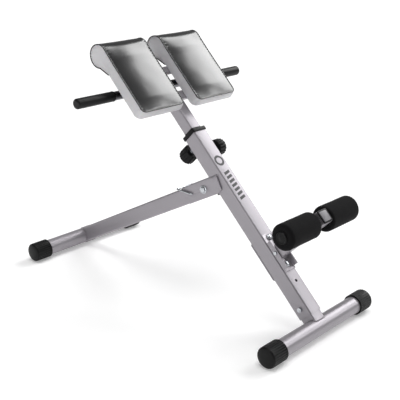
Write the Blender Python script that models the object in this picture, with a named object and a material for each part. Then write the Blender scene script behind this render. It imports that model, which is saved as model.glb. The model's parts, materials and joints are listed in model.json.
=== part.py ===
"""Roman chair (45 degree back extension bench) built from its separate pieces.

Frame of the part: X runs across the bench (+X is the user's left), the user faces -Y,
the ankle rollers are towards +Y and Z is up. The origin lies on the floor, midway
between the two cross tubes. All lengths are in metres.

Two slanted helper frames carry most pieces:
  post frame: local Z runs up along the main post, local Y is the normal of its upper side,
              and the origin lies on the rear cross tube's axis;
  leg frame:  local Z runs up along the front leg, local Y is the normal of its lower side,
              and the origin lies on the fold pivot.
"""
import math

import bmesh
import bpy
from mathutils import Matrix, Vector

GAP = 0.0003                  # clearance left between touching pieces

# Fasteners: shank radius, the hole that passes it and the nut or head over its flats
M8_R = 0.004
M8_HOLE_R = 0.0043
M8_FLATS = 0.013
M6_R = 0.003
M6_HOLE_R = 0.0033
M6_FLATS = 0.010

# Stance
BASE_HALF = 0.484             # from the middle of the bench to each cross tube's axis
FOOT_R = 0.030                # radius of the ribbed end caps, so the axis height too
POST_ANGLE = math.radians(44.6)
LEG_ANGLE = math.radians(28.2)
PIVOT_REACH = 0.6454          # front cross tube's axis to the fold pivot, along the leg

# Cross tubes and their end caps
CROSS_R = 0.025
CROSS_WALL = 0.002
CROSS_HALF = 0.222
CAP_INNER_END = 0.172
CAP_OUTER_END = 0.232

# Main post, its lower stub and its collar
POST = 0.049
POST_WALL = 0.0025
POST_CORNER = 0.005
POST_START = 0.0375
POST_END = 0.641
STUB_END = 0.105
STUB_BOLT_AT = 0.0623
SPARE_HOLE_AT = 0.135
COLLAR_SIZE = 0.054
COLLAR_TOP = 0.653
COLLAR_INSERT_START = 0.622

# Rubber block under the post that the folded leg closes on
BUMPER_AT = 0.4634
BUMPER_WIDE = 0.034
BUMPER_TALL = 0.0122
BUMPER_LONG = 0.011

# Sliding tube
SLIDER = 0.038
SLIDER_WALL = 0.002
SLIDER_START = 0.355
SLIDER_END = 0.905
HOLE_PITCH = 0.020
HOLES_BELOW = 5
HOLES_ABOVE = 3

# Pull pin under the post and clamp knob on its right side
PIN_AT = 0.615
PIN_R = 0.004
PIN_HOLE_R = 0.0045
PIN_TIP = 0.0195              # just short of the sliding tube's side
BARREL_R = 0.009
BARREL_BORE_R = 0.0065
BARREL_END = 0.050
BARREL_FLOOR = 0.003
SPRING_R = 0.0056
SPRING_WIRE_R = 0.0006
KNOB_R = 0.0245
KNOB_START = 0.043
KNOB_END = 0.084
CLAMP_AT = 0.586
CLAMP_BOSS_END = 0.036
CLAMP_BOSS_FLATS = 0.019
CLAMP_STUD_END = 0.058
CLAMP_KNOB_START = 0.040
CLAMP_KNOB_END = 0.070

# Folding leg
LEG_WIDE = 0.044
LEG_DEEP = 0.049
LEG_WALL = 0.002
LEG_TAIL = 0.021
PIVOT_R = 0.005
LOCK_REACH = 0.050            # fold pivot to the lock wire's pins
BRACKET_PLATE = 0.003
BRACKET_FRONT = -0.0834
BRACKET_REAR = 0.0686
BRACKET_LOW = 0.0255
BRACKET_TAPER_START = 0.050
BRACKET_REAR_LOW = -0.018
WEB_REAR = -0.040
WIRE_R = 0.0025
BAIL_REACH = 0.058
BAIL_HALF = 0.0325
BAIL_LIFT = math.radians(30)  # rest angle of the lock wire above the leg's line

# Handlebar and grips
HANDLE_AT = 0.8208
HANDLE_R = 0.0125
HANDLE_WALL = 0.0025
HANDLE_HALF = 0.326
GRIP_R = 0.0145
GRIP_START = 0.1985
GRIP_END = 0.3306

# Pads, their boards and the channels under them
PAD_INNER = 0.029
PAD_OUTER = 0.195
PAD_START = 0.715
PAD_UNDER = 0.0306
PAD_TOP = 0.0615
PAD_FLAT_END = 0.870
PAD_RISE_START = 0.905
PAD_CORNER = 0.008
ROLL_AT = 0.938
ROLL_HEIGHT = 0.029
ROLL_R = 0.0355
BOARD_THICK = 0.012
BOARD_INSET = 0.012
BOARD_END = 0.900
CHANNEL_HALF = 0.165
CHANNEL_WALL = 0.0025
CHANNELS = {"lower": (0.765, 0.028), "upper": (0.855, 0.024)}
PAD_SCREW_X = 0.110

# Ankle roller carrier
CARRIER_START = 0.167
CARRIER_END = 0.287
CARRIER_PLATE = 0.003
CARRIER_HALF = 0.0235
CARRIER_BOLTS = {"lower": 0.187, "upper": 0.275}
FLANGE_START = 0.174
FLANGE_END = 0.262
FLANGE_TALL = 0.016
ARM = 0.038
ARM_WALL = 0.002
ARM_AT = 0.2256
ARM_END = 0.2275
ARM_BOLT_HIGH = 0.0360
ROLLER_OFF = 0.1965
ROLLER_R = 0.0357
ROLLER_INNER = 0.0235
ROLLER_OUTER = 0.1520
AXLE_R = 0.010
AXLE_WALL = 0.002
HUB_R = 0.0122
HUB_DISC_R = 0.017


# ---------------------------------------------------------------- materials and objects

def srgb(code):
    """Linear colour from a hex code."""
    values = [int(code[i:i + 2], 16) / 255 for i in (0, 2, 4)]
    linear = [v / 12.92 if v <= 0.04045 else ((v + 0.055) / 1.055) ** 2.4 for v in values]
    return (*linear, 1.0)


FINISHES = {
    "silver_paint": ("b9b6bb", 0.34, 0.55),
    "bare_steel": ("8f9095", 0.30, 1.0),
    "zinc_plate": ("c6c8cc", 0.28, 1.0),
    "black_plastic": ("151516", 0.45, 0.0),
    "black_rubber": ("111112", 0.70, 0.0),
    "black_foam": ("1a191b", 0.90, 0.0),
    "black_vinyl": ("17171a", 0.32, 0.0),
    "plywood": ("b98f5c", 0.70, 0.0),
}


def finish(name, owner):
    """A material of its own for one sub-part, with the finish's values."""
    colour, roughness, metallic = FINISHES[name]
    material = bpy.data.materials.new(f"{owner}_{name}")
    material.use_nodes = True
    shader = material.node_tree.nodes["Principled BSDF"]
    shader.inputs["Base Color"].default_value = srgb(colour)
    shader.inputs["Roughness"].default_value = roughness
    shader.inputs["Metallic"].default_value = metallic
    material.diffuse_color = srgb(colour)
    return material


def helper(name, parent=None, location=(0, 0, 0), rotation=(0, 0, 0)):
    """An empty that carries the pieces of one frame."""
    empty = bpy.data.objects.new(name, None)
    bpy.context.collection.objects.link(empty)
    empty.parent = parent
    empty.location = location
    empty.rotation_euler = rotation
    return empty


def piece(name, mesh, look, parent, location=(0, 0, 0), rotation=(0, 0, 0)):
    """One named sub-part from a bmesh, shaded smooth over its gentle angles."""
    bmesh.ops.recalc_face_normals(mesh, faces=mesh.faces)
    data = bpy.data.meshes.new(name)
    mesh.to_mesh(data)
    mesh.free()
    data.shade_smooth()
    data.set_sharp_from_angle(angle=math.radians(32))
    made = bpy.data.objects.new(name, data)
    bpy.context.collection.objects.link(made)
    data.materials.append(finish(look, name))
    made.parent = parent
    made.location = location
    made.rotation_euler = rotation
    return made


def cut(target, mesh, tool):
    """Cut a bmesh, given in the target's own frame, out of the target."""
    bmesh.ops.recalc_face_normals(mesh, faces=mesh.faces)
    data = bpy.data.meshes.new(f"{target.name}_{tool}")
    mesh.to_mesh(data)
    mesh.free()
    cutter = bpy.data.objects.new(f"{target.name}_{tool}", data)
    bpy.context.collection.objects.link(cutter)
    cutter.parent = target
    cutter.hide_render = True
    cutter.display_type = "WIRE"
    modifier = target.modifiers.new(tool, "BOOLEAN")
    modifier.operation = "DIFFERENCE"
    modifier.object = cutter


# ---------------------------------------------------------------- shapes

AXES = {
    "x": Matrix(((0, 0, 1, 0), (1, 0, 0, 0), (0, 1, 0, 0), (0, 0, 0, 1))),
    "y": Matrix(((0, 1, 0, 0), (0, 0, 1, 0), (1, 0, 0, 0), (0, 0, 0, 1))),
    "z": Matrix.Identity(4),
}


def turn_to(mesh, axis, centre=(0, 0, 0)):
    """Lay a shape made along +Z along the given axis and move it to its centre."""
    bmesh.ops.transform(mesh, matrix=Matrix.Translation(centre) @ AXES[axis], verts=mesh.verts)
    return mesh


def rounded(wide, deep, radius, steps=2):
    """Corner points of a rectangle with round corners, counter-clockwise."""
    points = []
    for quarter, (sx, sy) in enumerate(((1, 1), (-1, 1), (-1, -1), (1, -1))):
        centre_x = sx * (wide / 2 - radius)
        centre_y = sy * (deep / 2 - radius)
        for step in range(steps + 1):
            angle = math.pi / 2 * (quarter + step / steps)
            points.append((centre_x + radius * math.cos(angle), centre_y + radius * math.sin(angle)))
    return points


def circle(radius, sides=32):
    """Points of a regular outline, counter-clockwise."""
    angles = [2 * math.pi * i / sides for i in range(sides)]
    return [(radius * math.cos(a), radius * math.sin(a)) for a in angles]


def prism(outline, start, end):
    """A solid bar with the outline as its section, along +Z."""
    mesh = bmesh.new()
    face = mesh.faces.new([mesh.verts.new((x, y, start)) for x, y in outline])
    moved = bmesh.ops.extrude_face_region(mesh, geom=[face])["geom"]
    top = [v for v in moved if isinstance(v, bmesh.types.BMVert)]
    bmesh.ops.translate(mesh, vec=(0, 0, end - start), verts=top)
    return mesh


def box(size, centre):
    """A plain block."""
    mesh = bmesh.new()
    bmesh.ops.create_cube(mesh, size=1.0, matrix=Matrix.Translation(centre) @ Matrix.Diagonal((*size, 1)))
    return mesh


def pipe(outer, inner, start, end):
    """A hollow bar along +Z; both outlines have the same number of points."""
    mesh = bmesh.new()
    rings = [[mesh.verts.new((x, y, z)) for x, y in outline]
             for outline, z in ((outer, start), (outer, end), (inner, end), (inner, start))]
    count = len(outer)
    for ring, following in zip(rings, rings[1:] + rings[:1]):
        for i in range(count):
            j = (i + 1) % count
            mesh.faces.new((ring[i], ring[j], following[j], following[i]))
    return mesh


def turned(profile, sides=32):
    """A round solid about +Z from (radius, height) points, closed at radius zero or as a loop."""
    mesh = bmesh.new()
    rings = []
    for radius, height in profile:
        if radius == 0:
            rings.append([mesh.verts.new((0, 0, height))])
        else:
            rings.append([mesh.verts.new((x, y, height)) for x, y in circle(radius, sides)])
    pairs = list(zip(rings, rings[1:]))
    if profile[0][0] and profile[-1][0]:
        pairs.append((rings[-1], rings[0]))
    for ring, following in pairs:
        for i in range(sides):
            j = (i + 1) % sides
            if len(ring) == 1 and len(following) == 1:
                continue
            if len(ring) == 1:
                mesh.faces.new((ring[0], following[j], following[i]))
            elif len(following) == 1:
                mesh.faces.new((ring[i], ring[j], following[0]))
            else:
                mesh.faces.new((ring[i], ring[j], following[j], following[i]))
    return mesh


def arc(centre, radius, first, last, steps):
    """Points of an arc in degrees, both ends included."""
    points = []
    for step in range(steps + 1):
        angle = math.radians(first + (last - first) * step / steps)
        points.append((centre[0] + radius * math.cos(angle), centre[1] + radius * math.sin(angle)))
    return points


def square_tube(wide, deep, wall, corner, start, end):
    """A hollow bar of square or rectangular section."""
    return pipe(rounded(wide, deep, corner),
                rounded(wide - 2 * wall, deep - 2 * wall, max(corner - wall, 0.001)), start, end)


def drill(target, tool, radius, axis, centre, reach, sides=16):
    """A round hole, or a blind one where the reach says so, along an axis of the target."""
    mesh = prism(circle(radius, sides), -reach, reach)
    cut(target, turn_to(mesh, axis, centre), tool)


def hexagon(across_flats):
    """The outline of a hexagon head or nut."""
    return circle(across_flats / math.sqrt(3), 6)


def bolt(name, look, parent, centre, axis, shank_r, head_flats, head_tall, length):
    """A hexagon bolt whose head sits at +axis with its underside at the origin of its shape."""
    head = prism(hexagon(head_flats), 0, head_tall)
    shank = turned([(0, -length), (shank_r * 0.8, -length), (shank_r, -length + shank_r * 0.3),
                    (shank_r, 0), (shank_r, head_tall / 2), (0, head_tall / 2)], 16)
    made = piece(name, turn_to(head, axis), look, parent, centre)
    join_solid(made, turn_to(shank, axis))
    return made


def join_solid(target, mesh):
    """Fuse a bmesh, given in the target's own frame, into the target."""
    bmesh.ops.recalc_face_normals(mesh, faces=mesh.faces)
    data = bpy.data.meshes.new(f"{target.name}_core")
    mesh.to_mesh(data)
    mesh.free()
    core = bpy.data.objects.new(f"{target.name}_core", data)
    bpy.context.collection.objects.link(core)
    core.parent = target
    core.hide_render = True
    core.display_type = "WIRE"
    modifier = target.modifiers.new("join", "BOOLEAN")
    modifier.operation = "UNION"
    modifier.object = core


def nut(name, look, parent, centre, axis, bore_r, flats, tall):
    """A hexagon nut standing from its centre along the axis."""
    sides = 18
    outer = []
    for i in range(sides):
        angle = 2 * math.pi * i / sides
        corner = (angle % (math.pi / 3)) - math.pi / 6
        reach = flats / 2 / math.cos(corner)
        outer.append((reach * math.cos(angle), reach * math.sin(angle)))
    shape = pipe(outer, circle(bore_r, sides), 0, tall)
    return piece(name, turn_to(shape, axis), look, parent, centre)


# ---------------------------------------------------------------- cross tubes and feet

def cross_tube(name, parent):
    """The round tube that lies across under one end of the bench."""
    shape = pipe(circle(CROSS_R), circle(CROSS_R - CROSS_WALL), -CROSS_HALF, CROSS_HALF)
    piece(name, turn_to(shape, "x"), "silver_paint", parent)


def end_cap(name, parent, side):
    """A plastic foot that slips over a cross tube's end; side is +1 for left, -1 for right."""
    bore = CROSS_R + GAP
    edge = 0.005
    dome = 0.0025
    profile = [(bore, CAP_INNER_END), (FOOT_R, CAP_INNER_END)]
    profile += arc((FOOT_R - edge, CAP_OUTER_END - dome - edge), edge, 0, 80, 2)
    profile += [(0, CAP_OUTER_END), (0, CROSS_HALF + GAP), (bore, CROSS_HALF + GAP)]
    shape = turn_to(turned(profile), "x")
    if side < 0:
        bmesh.ops.scale(shape, vec=(-1, 1, 1), verts=shape.verts)
    piece(name, shape, "black_plastic", parent)


# ---------------------------------------------------------------- main post

def main_post(frame):
    """The slanted square tube, drilled for its bolts, pins and the clamp."""
    post = piece("main_post", square_tube(POST, POST, POST_WALL, POST_CORNER, POST_START, POST_END),
                 "silver_paint", frame)
    for place, height in CARRIER_BOLTS.items():
        drill(post, f"{place}_carrier_hole", M8_HOLE_R, "y", (0, 0, height), POST)
    drill(post, "spare_hole", M8_HOLE_R, "y", (0, POST / 2, SPARE_HOLE_AT), POST / 4)
    drill(post, "stub_bolt_hole", M8_HOLE_R, "x", (0, 0, STUB_BOLT_AT), POST)
    drill(post, "pin_hole", PIN_HOLE_R, "y", (0, -POST / 2, PIN_AT), POST / 4)
    drill(post, "clamp_hole", PIN_HOLE_R, "x", (-POST / 2, 0, CLAMP_AT), POST / 4)


def collar(frame):
    """The plastic bush in the post's mouth that guides the sliding tube."""
    inner = SLIDER + 2 * GAP
    insert = POST - 2 * POST_WALL - 2 * GAP
    bush = piece("post_collar", prism(rounded(COLLAR_SIZE, COLLAR_SIZE, 0.004), POST_END + GAP, COLLAR_TOP),
                 "black_plastic", frame)
    join_solid(bush, prism(rounded(insert, insert, 0.002), COLLAR_INSERT_START, POST_END + 0.002))
    cut(bush, prism(rounded(inner, inner, 0.003), COLLAR_INSERT_START - 0.01, COLLAR_TOP + 0.01), "bore")


def post_stub(frame):
    """The short tube welded to the rear cross tube that plugs into the post."""
    wide = POST - 2 * POST_WALL - 2 * GAP
    stub = piece("rear_stub", square_tube(wide, wide, POST_WALL, 0.003, 0.005, STUB_END),
                 "silver_paint", frame)
    cut(stub, turn_to(prism(circle(CROSS_R + GAP), -POST, POST), "x"), "cope")
    drill(stub, "bolt_hole", M8_HOLE_R, "x", (0, 0, STUB_BOLT_AT), POST)
    bolt("stub_bolt", "zinc_plate", frame, (POST / 2 + GAP, 0, STUB_BOLT_AT), "x",
         M8_R, M8_FLATS, 0.0055, POST + 0.009)
    flip_nut("stub_nut", frame, (-POST / 2 - GAP, 0, STUB_BOLT_AT), "x", M8_R + 0.0002, M8_FLATS, 0.0065)


def flip_nut(name, frame, centre, axis, bore_r, flats, tall):
    """A nut that stands from its centre against the axis."""
    made = nut(name, "zinc_plate", frame, centre, axis, bore_r, flats, tall)
    made.rotation_euler = (0, math.pi, 0) if axis == "x" else (math.pi, 0, 0)


def fold_bumper(frame):
    """The rubber block under the post that the folded leg closes on."""
    block = prism(rounded(BUMPER_WIDE, BUMPER_TALL, 0.002), -BUMPER_LONG / 2, BUMPER_LONG / 2)
    middle = -POST / 2 - GAP - BUMPER_TALL / 2
    piece("fold_bumper", block, "black_rubber", frame, (0, middle, BUMPER_AT))


# ---------------------------------------------------------------- folding leg

def front_leg(frame):
    """The leg tube: coped over the front cross tube, drilled for the pivot and the lock."""
    leg = piece("front_leg",
                square_tube(LEG_WIDE, LEG_DEEP, LEG_WALL, POST_CORNER, -PIVOT_REACH, LEG_TAIL),
                "silver_paint", frame)
    cope = turn_to(prism(circle(CROSS_R + GAP), -POST, POST), "x", (0, 0, -PIVOT_REACH))
    cut(leg, cope, "cope")
    drill(leg, "pivot_hole", PIVOT_R + GAP, "x", (0, 0, 0), POST)
    drill(leg, "lock_hole", M6_HOLE_R, "x", (0, 0, -LOCK_REACH), POST)


def leg_plug(frame):
    """The plastic plug in the leg's upper end."""
    inner_wide = LEG_WIDE - 2 * LEG_WALL - 2 * GAP
    inner_deep = LEG_DEEP - 2 * LEG_WALL - 2 * GAP
    lid = prism(rounded(LEG_WIDE, LEG_DEEP, POST_CORNER), LEG_TAIL + GAP, LEG_TAIL + 0.003)
    plug = piece("leg_plug", lid, "black_plastic", frame)
    join_solid(plug, prism(rounded(inner_wide, inner_deep, 0.003), 0.009, LEG_TAIL + 0.001))


def leg_bracket(frame):
    """The folded steel bracket: two cheeks on the post's sides and a stop web over the leg."""
    inner = POST / 2 + GAP
    outer = inner + BRACKET_PLATE
    top = LEG_DEEP / 2 + GAP + BRACKET_PLATE
    low = -BRACKET_LOW
    bevel = 0.010
    fold_r = 0.004
    profile = [(BRACKET_FRONT + bevel, low), (BRACKET_TAPER_START, low), (BRACKET_REAR, BRACKET_REAR_LOW),
               (BRACKET_REAR, top), (BRACKET_FRONT + fold_r, top), (BRACKET_FRONT, top - fold_r),
               (BRACKET_FRONT, low + bevel)]
    mesh = bmesh.new()
    face = mesh.faces.new([mesh.verts.new((-outer, -m, s)) for s, m in profile])
    moved = bmesh.ops.extrude_face_region(mesh, geom=[face])["geom"]
    far = [v for v in moved if isinstance(v, bmesh.types.BMVert)]
    bmesh.ops.translate(mesh, vec=(2 * outer, 0, 0), verts=far)
    bracket = piece("leg_bracket", mesh, "silver_paint", frame)
    under = top - BRACKET_PLATE
    cut(bracket, box((2 * inner, 0.2, 0.4), (0, 0.1 - under, 0)), "channel")
    cut(bracket, box((2 * inner, 0.2, 0.2), (0, 0, WEB_REAR + 0.1)), "rear_opening")
    drill(bracket, "pivot_hole", PIVOT_R + GAP, "x", (0, 0, 0), 2 * POST)
    drill(bracket, "lock_hole", WIRE_R + GAP, "x", (0, 0, -LOCK_REACH), 2 * POST)


def pivot(frame, leg):
    """The pivot bolt and nut on the bracket, and the washers that centre the leg."""
    outer = POST / 2 + GAP + BRACKET_PLATE + GAP
    bolt("pivot_bolt", "zinc_plate", frame, (outer, 0, 0), "x", PIVOT_R, 0.017, 0.0065, 2 * outer + 0.010)
    flip_nut("pivot_nut", frame, (-outer, 0, 0), "x", PIVOT_R + 0.0002, 0.017, 0.008)
    first = LEG_WIDE / 2 + GAP
    last = POST / 2
    for name, side in (("pivot_washer_left", 1), ("pivot_washer_right", -1)):
        low, high = sorted((side * first, side * last))
        ring = pipe(circle(0.0105, 20), circle(PIVOT_R + GAP, 20), low, high)
        piece(name, turn_to(ring, "x"), "zinc_plate", leg)


def lock_wire(frame):
    """The spring wire whose pins pass the bracket's cheeks and whose cross run rests over the leg."""
    bend = 0.004
    pin_end = POST / 2 - 0.0008
    half = [(pin_end, 0)]
    half += arc((BAIL_HALF - bend, bend), bend, -90, 0, 4)
    half += arc((BAIL_HALF - bend, BAIL_REACH - bend), bend, 0, 90, 4)
    path = half + [(-x, r) for x, r in reversed(half)]
    curve = bpy.data.curves.new("lock_wire", "CURVE")
    curve.dimensions = "3D"
    curve.bevel_depth = WIRE_R
    curve.bevel_resolution = 2
    curve.use_fill_caps = True
    spline = curve.splines.new("POLY")
    spline.points.add(len(path) - 1)
    for point, (x, r) in zip(spline.points, path):
        point.co = (x, 0, r, 1)
    made = bpy.data.objects.new("lock_wire", curve)
    bpy.context.collection.objects.link(made)
    curve.materials.append(finish("zinc_plate", "lock_wire"))
    made.parent = frame


# ---------------------------------------------------------------- sliding tube and handle

def sliding_tube(frame):
    """The inner tube with its row of height holes and the cross hole for the handlebar."""
    tube = piece("sliding_tube", square_tube(SLIDER, SLIDER, SLIDER_WALL, 0.004, SLIDER_START, SLIDER_END),
                 "silver_paint", frame)
    row = bmesh.new()
    for step in range(-HOLES_BELOW, HOLES_ABOVE + 1):
        hole = turn_to(prism(circle(PIN_HOLE_R, 12), -0.005, 0.005), "y",
                       (0, -SLIDER / 2, PIN_AT + step * HOLE_PITCH))
        data = bpy.data.meshes.new("hole")
        hole.to_mesh(data)
        hole.free()
        row.from_mesh(data)
        bpy.data.meshes.remove(data)
    cut(tube, row, "height_holes")
    drill(tube, "handle_hole", HANDLE_R + GAP, "x", (0, 0, HANDLE_AT), SLIDER, 24)


def tube_ends(frame):
    """The sliding tube's top plug and the guide block at its lower end."""
    inner = SLIDER - 2 * SLIDER_WALL - 2 * GAP
    guide = POST - 2 * POST_WALL - 2 * GAP
    top = piece("tube_top_plug", prism(rounded(SLIDER, SLIDER, 0.004), SLIDER_END + GAP, SLIDER_END + 0.004),
                "black_plastic", frame)
    join_solid(top, prism(rounded(inner, inner, 0.002), SLIDER_END - 0.014, SLIDER_END + 0.001))
    low = piece("tube_guide", prism(rounded(guide, guide, 0.002), SLIDER_START - 0.010, SLIDER_START - GAP),
                "black_plastic", frame)
    join_solid(low, prism(rounded(inner, inner, 0.002), SLIDER_START - 0.001, SLIDER_START + 0.014))


def handlebar(frame):
    """The cross tube of the handles, welded through the sliding tube."""
    shape = pipe(circle(HANDLE_R, 24), circle(HANDLE_R - HANDLE_WALL, 24), -HANDLE_HALF, HANDLE_HALF)
    piece("handlebar", turn_to(shape, "x"), "bare_steel", frame, (0, 0, HANDLE_AT))


def grip(name, frame, side):
    """A rubber grip with a closed, rounded end."""
    bore = HANDLE_R + GAP
    edge = 0.004
    profile = [(bore, GRIP_START), (GRIP_R - 0.001, GRIP_START), (GRIP_R, GRIP_START + 0.001)]
    profile += arc((GRIP_R - edge, GRIP_END - edge), edge, 0, 90, 2)
    profile += [(0, GRIP_END), (0, HANDLE_HALF + GAP), (bore, HANDLE_HALF + GAP)]
    shape = turn_to(turned(profile, 24), "x")
    if side < 0:
        bmesh.ops.scale(shape, vec=(-1, 1, 1), verts=shape.verts)
    piece(name, shape, "black_rubber", frame, (0, 0, HANDLE_AT))


# ---------------------------------------------------------------- pads

def channel(name, frame, centre, wide):
    """A steel channel across the sliding tube, open below, drilled for the pad screws."""
    low = SLIDER / 2 + GAP
    high = PAD_UNDER - GAP
    half = wide / 2
    wall = CHANNEL_WALL
    section = [(half, low), (half, high), (-half, high), (-half, low),
               (-half + wall, low), (-half + wall, high - wall), (half - wall, high - wall),
               (half - wall, low)]
    mesh = bmesh.new()
    face = mesh.faces.new([mesh.verts.new((-CHANNEL_HALF, n, u)) for u, n in section])
    moved = bmesh.ops.extrude_face_region(mesh, geom=[face])["geom"]
    far = [v for v in moved if isinstance(v, bmesh.types.BMVert)]
    bmesh.ops.translate(mesh, vec=(2 * CHANNEL_HALF, 0, 0), verts=far)
    made = piece(name, mesh, "silver_paint", frame, (0, 0, centre))
    for side in (1, -1):
        drill(made, f"screw_hole_{side + 1}", M6_HOLE_R, "y", (side * PAD_SCREW_X, high, 0), 0.006)


def pad_outline():
    """The pad's side view: a flat cushion that ends in a roll hanging over its upper end."""
    corner = PAD_START + PAD_CORNER
    points = [(corner, PAD_UNDER), (PAD_FLAT_END, PAD_UNDER)]
    points += arc((ROLL_AT, ROLL_HEIGHT), ROLL_R, 208, 450, 12)
    points += [(PAD_RISE_START, PAD_TOP), (corner + 0.001, PAD_TOP)]
    points += arc((corner, PAD_TOP - PAD_CORNER), PAD_CORNER, 110, 180, 3)
    points += arc((corner, PAD_UNDER + PAD_CORNER), PAD_CORNER, 180, 250, 3)
    return points


def pad(name, frame, side):
    """One cushion with the pocket its board sits in."""
    low, high = sorted((side * PAD_INNER, side * PAD_OUTER))
    edge = 0.004
    middle = (low + high) / 2
    mesh = bmesh.new()
    outline = pad_outline()
    centre_u = sum(u for u, n in outline) / len(outline)
    centre_n = sum(n for u, n in outline) / len(outline)
    rings = []
    for x, inset in ((low, edge), (low + edge, 0), (high - edge, 0), (high, edge)):
        ring = []
        for u, n in outline:
            away = Vector((u - centre_u, n - centre_n))
            shift = away.normalized() * inset
            ring.append(mesh.verts.new((x, n - shift.y, u - shift.x)))
        rings.append(ring)
    for ring, following in zip(rings, rings[1:]):
        for i in range(len(outline)):
            j = (i + 1) % len(outline)
            mesh.faces.new((ring[i], ring[j], following[j], following[i]))
    mesh.faces.new(rings[0])
    mesh.faces.new(rings[-1])
    cushion = piece(name, mesh, "black_vinyl", frame)
    inset = BOARD_INSET - GAP
    size = (high - low - 2 * inset, 2 * (BOARD_THICK + GAP), BOARD_END - PAD_START - inset + GAP)
    pocket_middle = (PAD_START + inset + BOARD_END + GAP) / 2
    cut(cushion, box(size, (middle, PAD_UNDER, pocket_middle)), "board_pocket")


def pad_board(name, frame, side):
    """The plywood board inside a cushion, with blind holes for its screws."""
    low, high = sorted((side * PAD_INNER, side * PAD_OUTER))
    size = (high - low - 2 * BOARD_INSET, BOARD_THICK, BOARD_END - PAD_START - BOARD_INSET)
    middle = ((low + high) / 2, PAD_UNDER + BOARD_THICK / 2, (PAD_START + BOARD_INSET + BOARD_END) / 2)
    board = piece(name, box(size, (0, 0, 0)), "plywood", frame, middle)
    for place, (centre, wide) in CHANNELS.items():
        hole = (side * PAD_SCREW_X - middle[0], -BOARD_THICK / 2, centre - middle[2])
        drill(board, f"{place}_screw_hole", M6_HOLE_R, "y", hole, 0.0095, 12)


def pad_screw(name, frame, side, centre):
    """A pan head screw from inside a channel up into the board."""
    seat = PAD_UNDER - GAP - CHANNEL_WALL - GAP
    profile = [(0, -0.0040), (0.0040, -0.0038), (0.0058, -0.0022), (0.0060, 0.0), (M6_R, 0.0),
               (M6_R, 0.0100), (0, 0.0115)]
    piece(name, turn_to(turned(profile, 16), "y"), "zinc_plate", frame,
          (side * PAD_SCREW_X, seat, centre))


# ---------------------------------------------------------------- pull pin and clamp knob

def knob(name, frame, tall, cavity_r, cavity_deep, bore_r, bore_deep):
    """A domed round knob standing from its flat face along +Z, with a stepped bore in that face."""
    round_edge = 0.009
    profile = [(cavity_r, 0), (KNOB_R - 0.0015, 0), (KNOB_R, 0.0015)]
    profile += arc((KNOB_R - round_edge, tall - round_edge), round_edge, 0, 85, 3)
    profile += [(0, tall), (0, bore_deep), (bore_r, bore_deep)]
    if cavity_r > bore_r:
        profile += [(bore_r, cavity_deep), (cavity_r, cavity_deep)]
    return piece(name, turned(profile, 28), "black_plastic", frame)


def pull_pin(frame):
    """The threaded barrel welded under the post, and the sprung pin and knob inside it."""
    barrel = [(PIN_HOLE_R, POST / 2 + GAP), (BARREL_R, POST / 2 + GAP), (BARREL_R, BARREL_END),
              (PIN_HOLE_R, BARREL_END)]
    piece("pin_barrel", turned(barrel, 20), "zinc_plate", frame)
    cavity = [(0, POST / 2 - 0.001), (BARREL_BORE_R, POST / 2 - 0.001),
              (BARREL_BORE_R, BARREL_END - BARREL_FLOOR), (0, BARREL_END - BARREL_FLOOR)]
    cut(bpy.data.objects["pin_barrel"], turned(cavity, 20), "spring_room")
    shoulder = 0.0260
    pin = [(0, PIN_TIP), (PIN_R - 0.001, PIN_TIP), (PIN_R, PIN_TIP + 0.001), (PIN_R, shoulder),
           (0.006, shoulder), (0.006, shoulder + 0.002), (PIN_R, shoulder + 0.002),
           (PIN_R, KNOB_END - 0.012), (0, KNOB_END - 0.012)]
    piece("pull_pin", turned(pin, 16), "zinc_plate", frame)
    handle = knob("pull_knob", frame, KNOB_END - KNOB_START, BARREL_R + 0.0012,
                  BARREL_END + 0.002 - KNOB_START, PIN_R + GAP, KNOB_END - 0.0115 - KNOB_START)
    handle.location = (0, 0, KNOB_START)


def pin_spring(frame):
    """The pull pin's spring, drawn at its closed length at the bottom of the barrel."""
    turns = 4.5
    per_turn = 12
    pitch = 0.0015
    first = BARREL_END - BARREL_FLOOR - GAP - SPRING_WIRE_R - turns * pitch
    curve = bpy.data.curves.new("pin_spring", "CURVE")
    curve.dimensions = "3D"
    curve.bevel_depth = SPRING_WIRE_R
    curve.bevel_resolution = 0
    curve.use_fill_caps = True
    spline = curve.splines.new("POLY")
    count = int(turns * per_turn) + 1
    spline.points.add(count - 1)
    for i, point in enumerate(spline.points):
        angle = 2 * math.pi * i / per_turn
        point.co = (SPRING_R * math.cos(angle), SPRING_R * math.sin(angle), first + pitch * i / per_turn, 1)
    made = bpy.data.objects.new("pin_spring", curve)
    bpy.context.collection.objects.link(made)
    curve.materials.append(finish("bare_steel", "pin_spring"))
    made.parent = frame


def clamp(frame):
    """The welded nut on the post's right side and the clamp knob with its threaded stud."""
    nut("clamp_boss", "zinc_plate", frame, (0, 0, POST / 2 + GAP), "z", PIN_R + GAP, CLAMP_BOSS_FLATS,
        CLAMP_BOSS_END - POST / 2 - GAP)
    stud = [(0, PIN_TIP), (PIN_R - 0.001, PIN_TIP), (PIN_R, PIN_TIP + 0.001), (PIN_R, CLAMP_STUD_END),
            (0, CLAMP_STUD_END)]
    piece("clamp_stud", turned(stud, 16), "zinc_plate", frame)
    handle = knob("clamp_knob", frame, CLAMP_KNOB_END - CLAMP_KNOB_START, PIN_R + GAP, 0,
                  PIN_R + GAP, CLAMP_STUD_END + 0.0005 - CLAMP_KNOB_START)
    handle.location = (0, 0, CLAMP_KNOB_START)


# ---------------------------------------------------------------- ankle rollers

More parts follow.
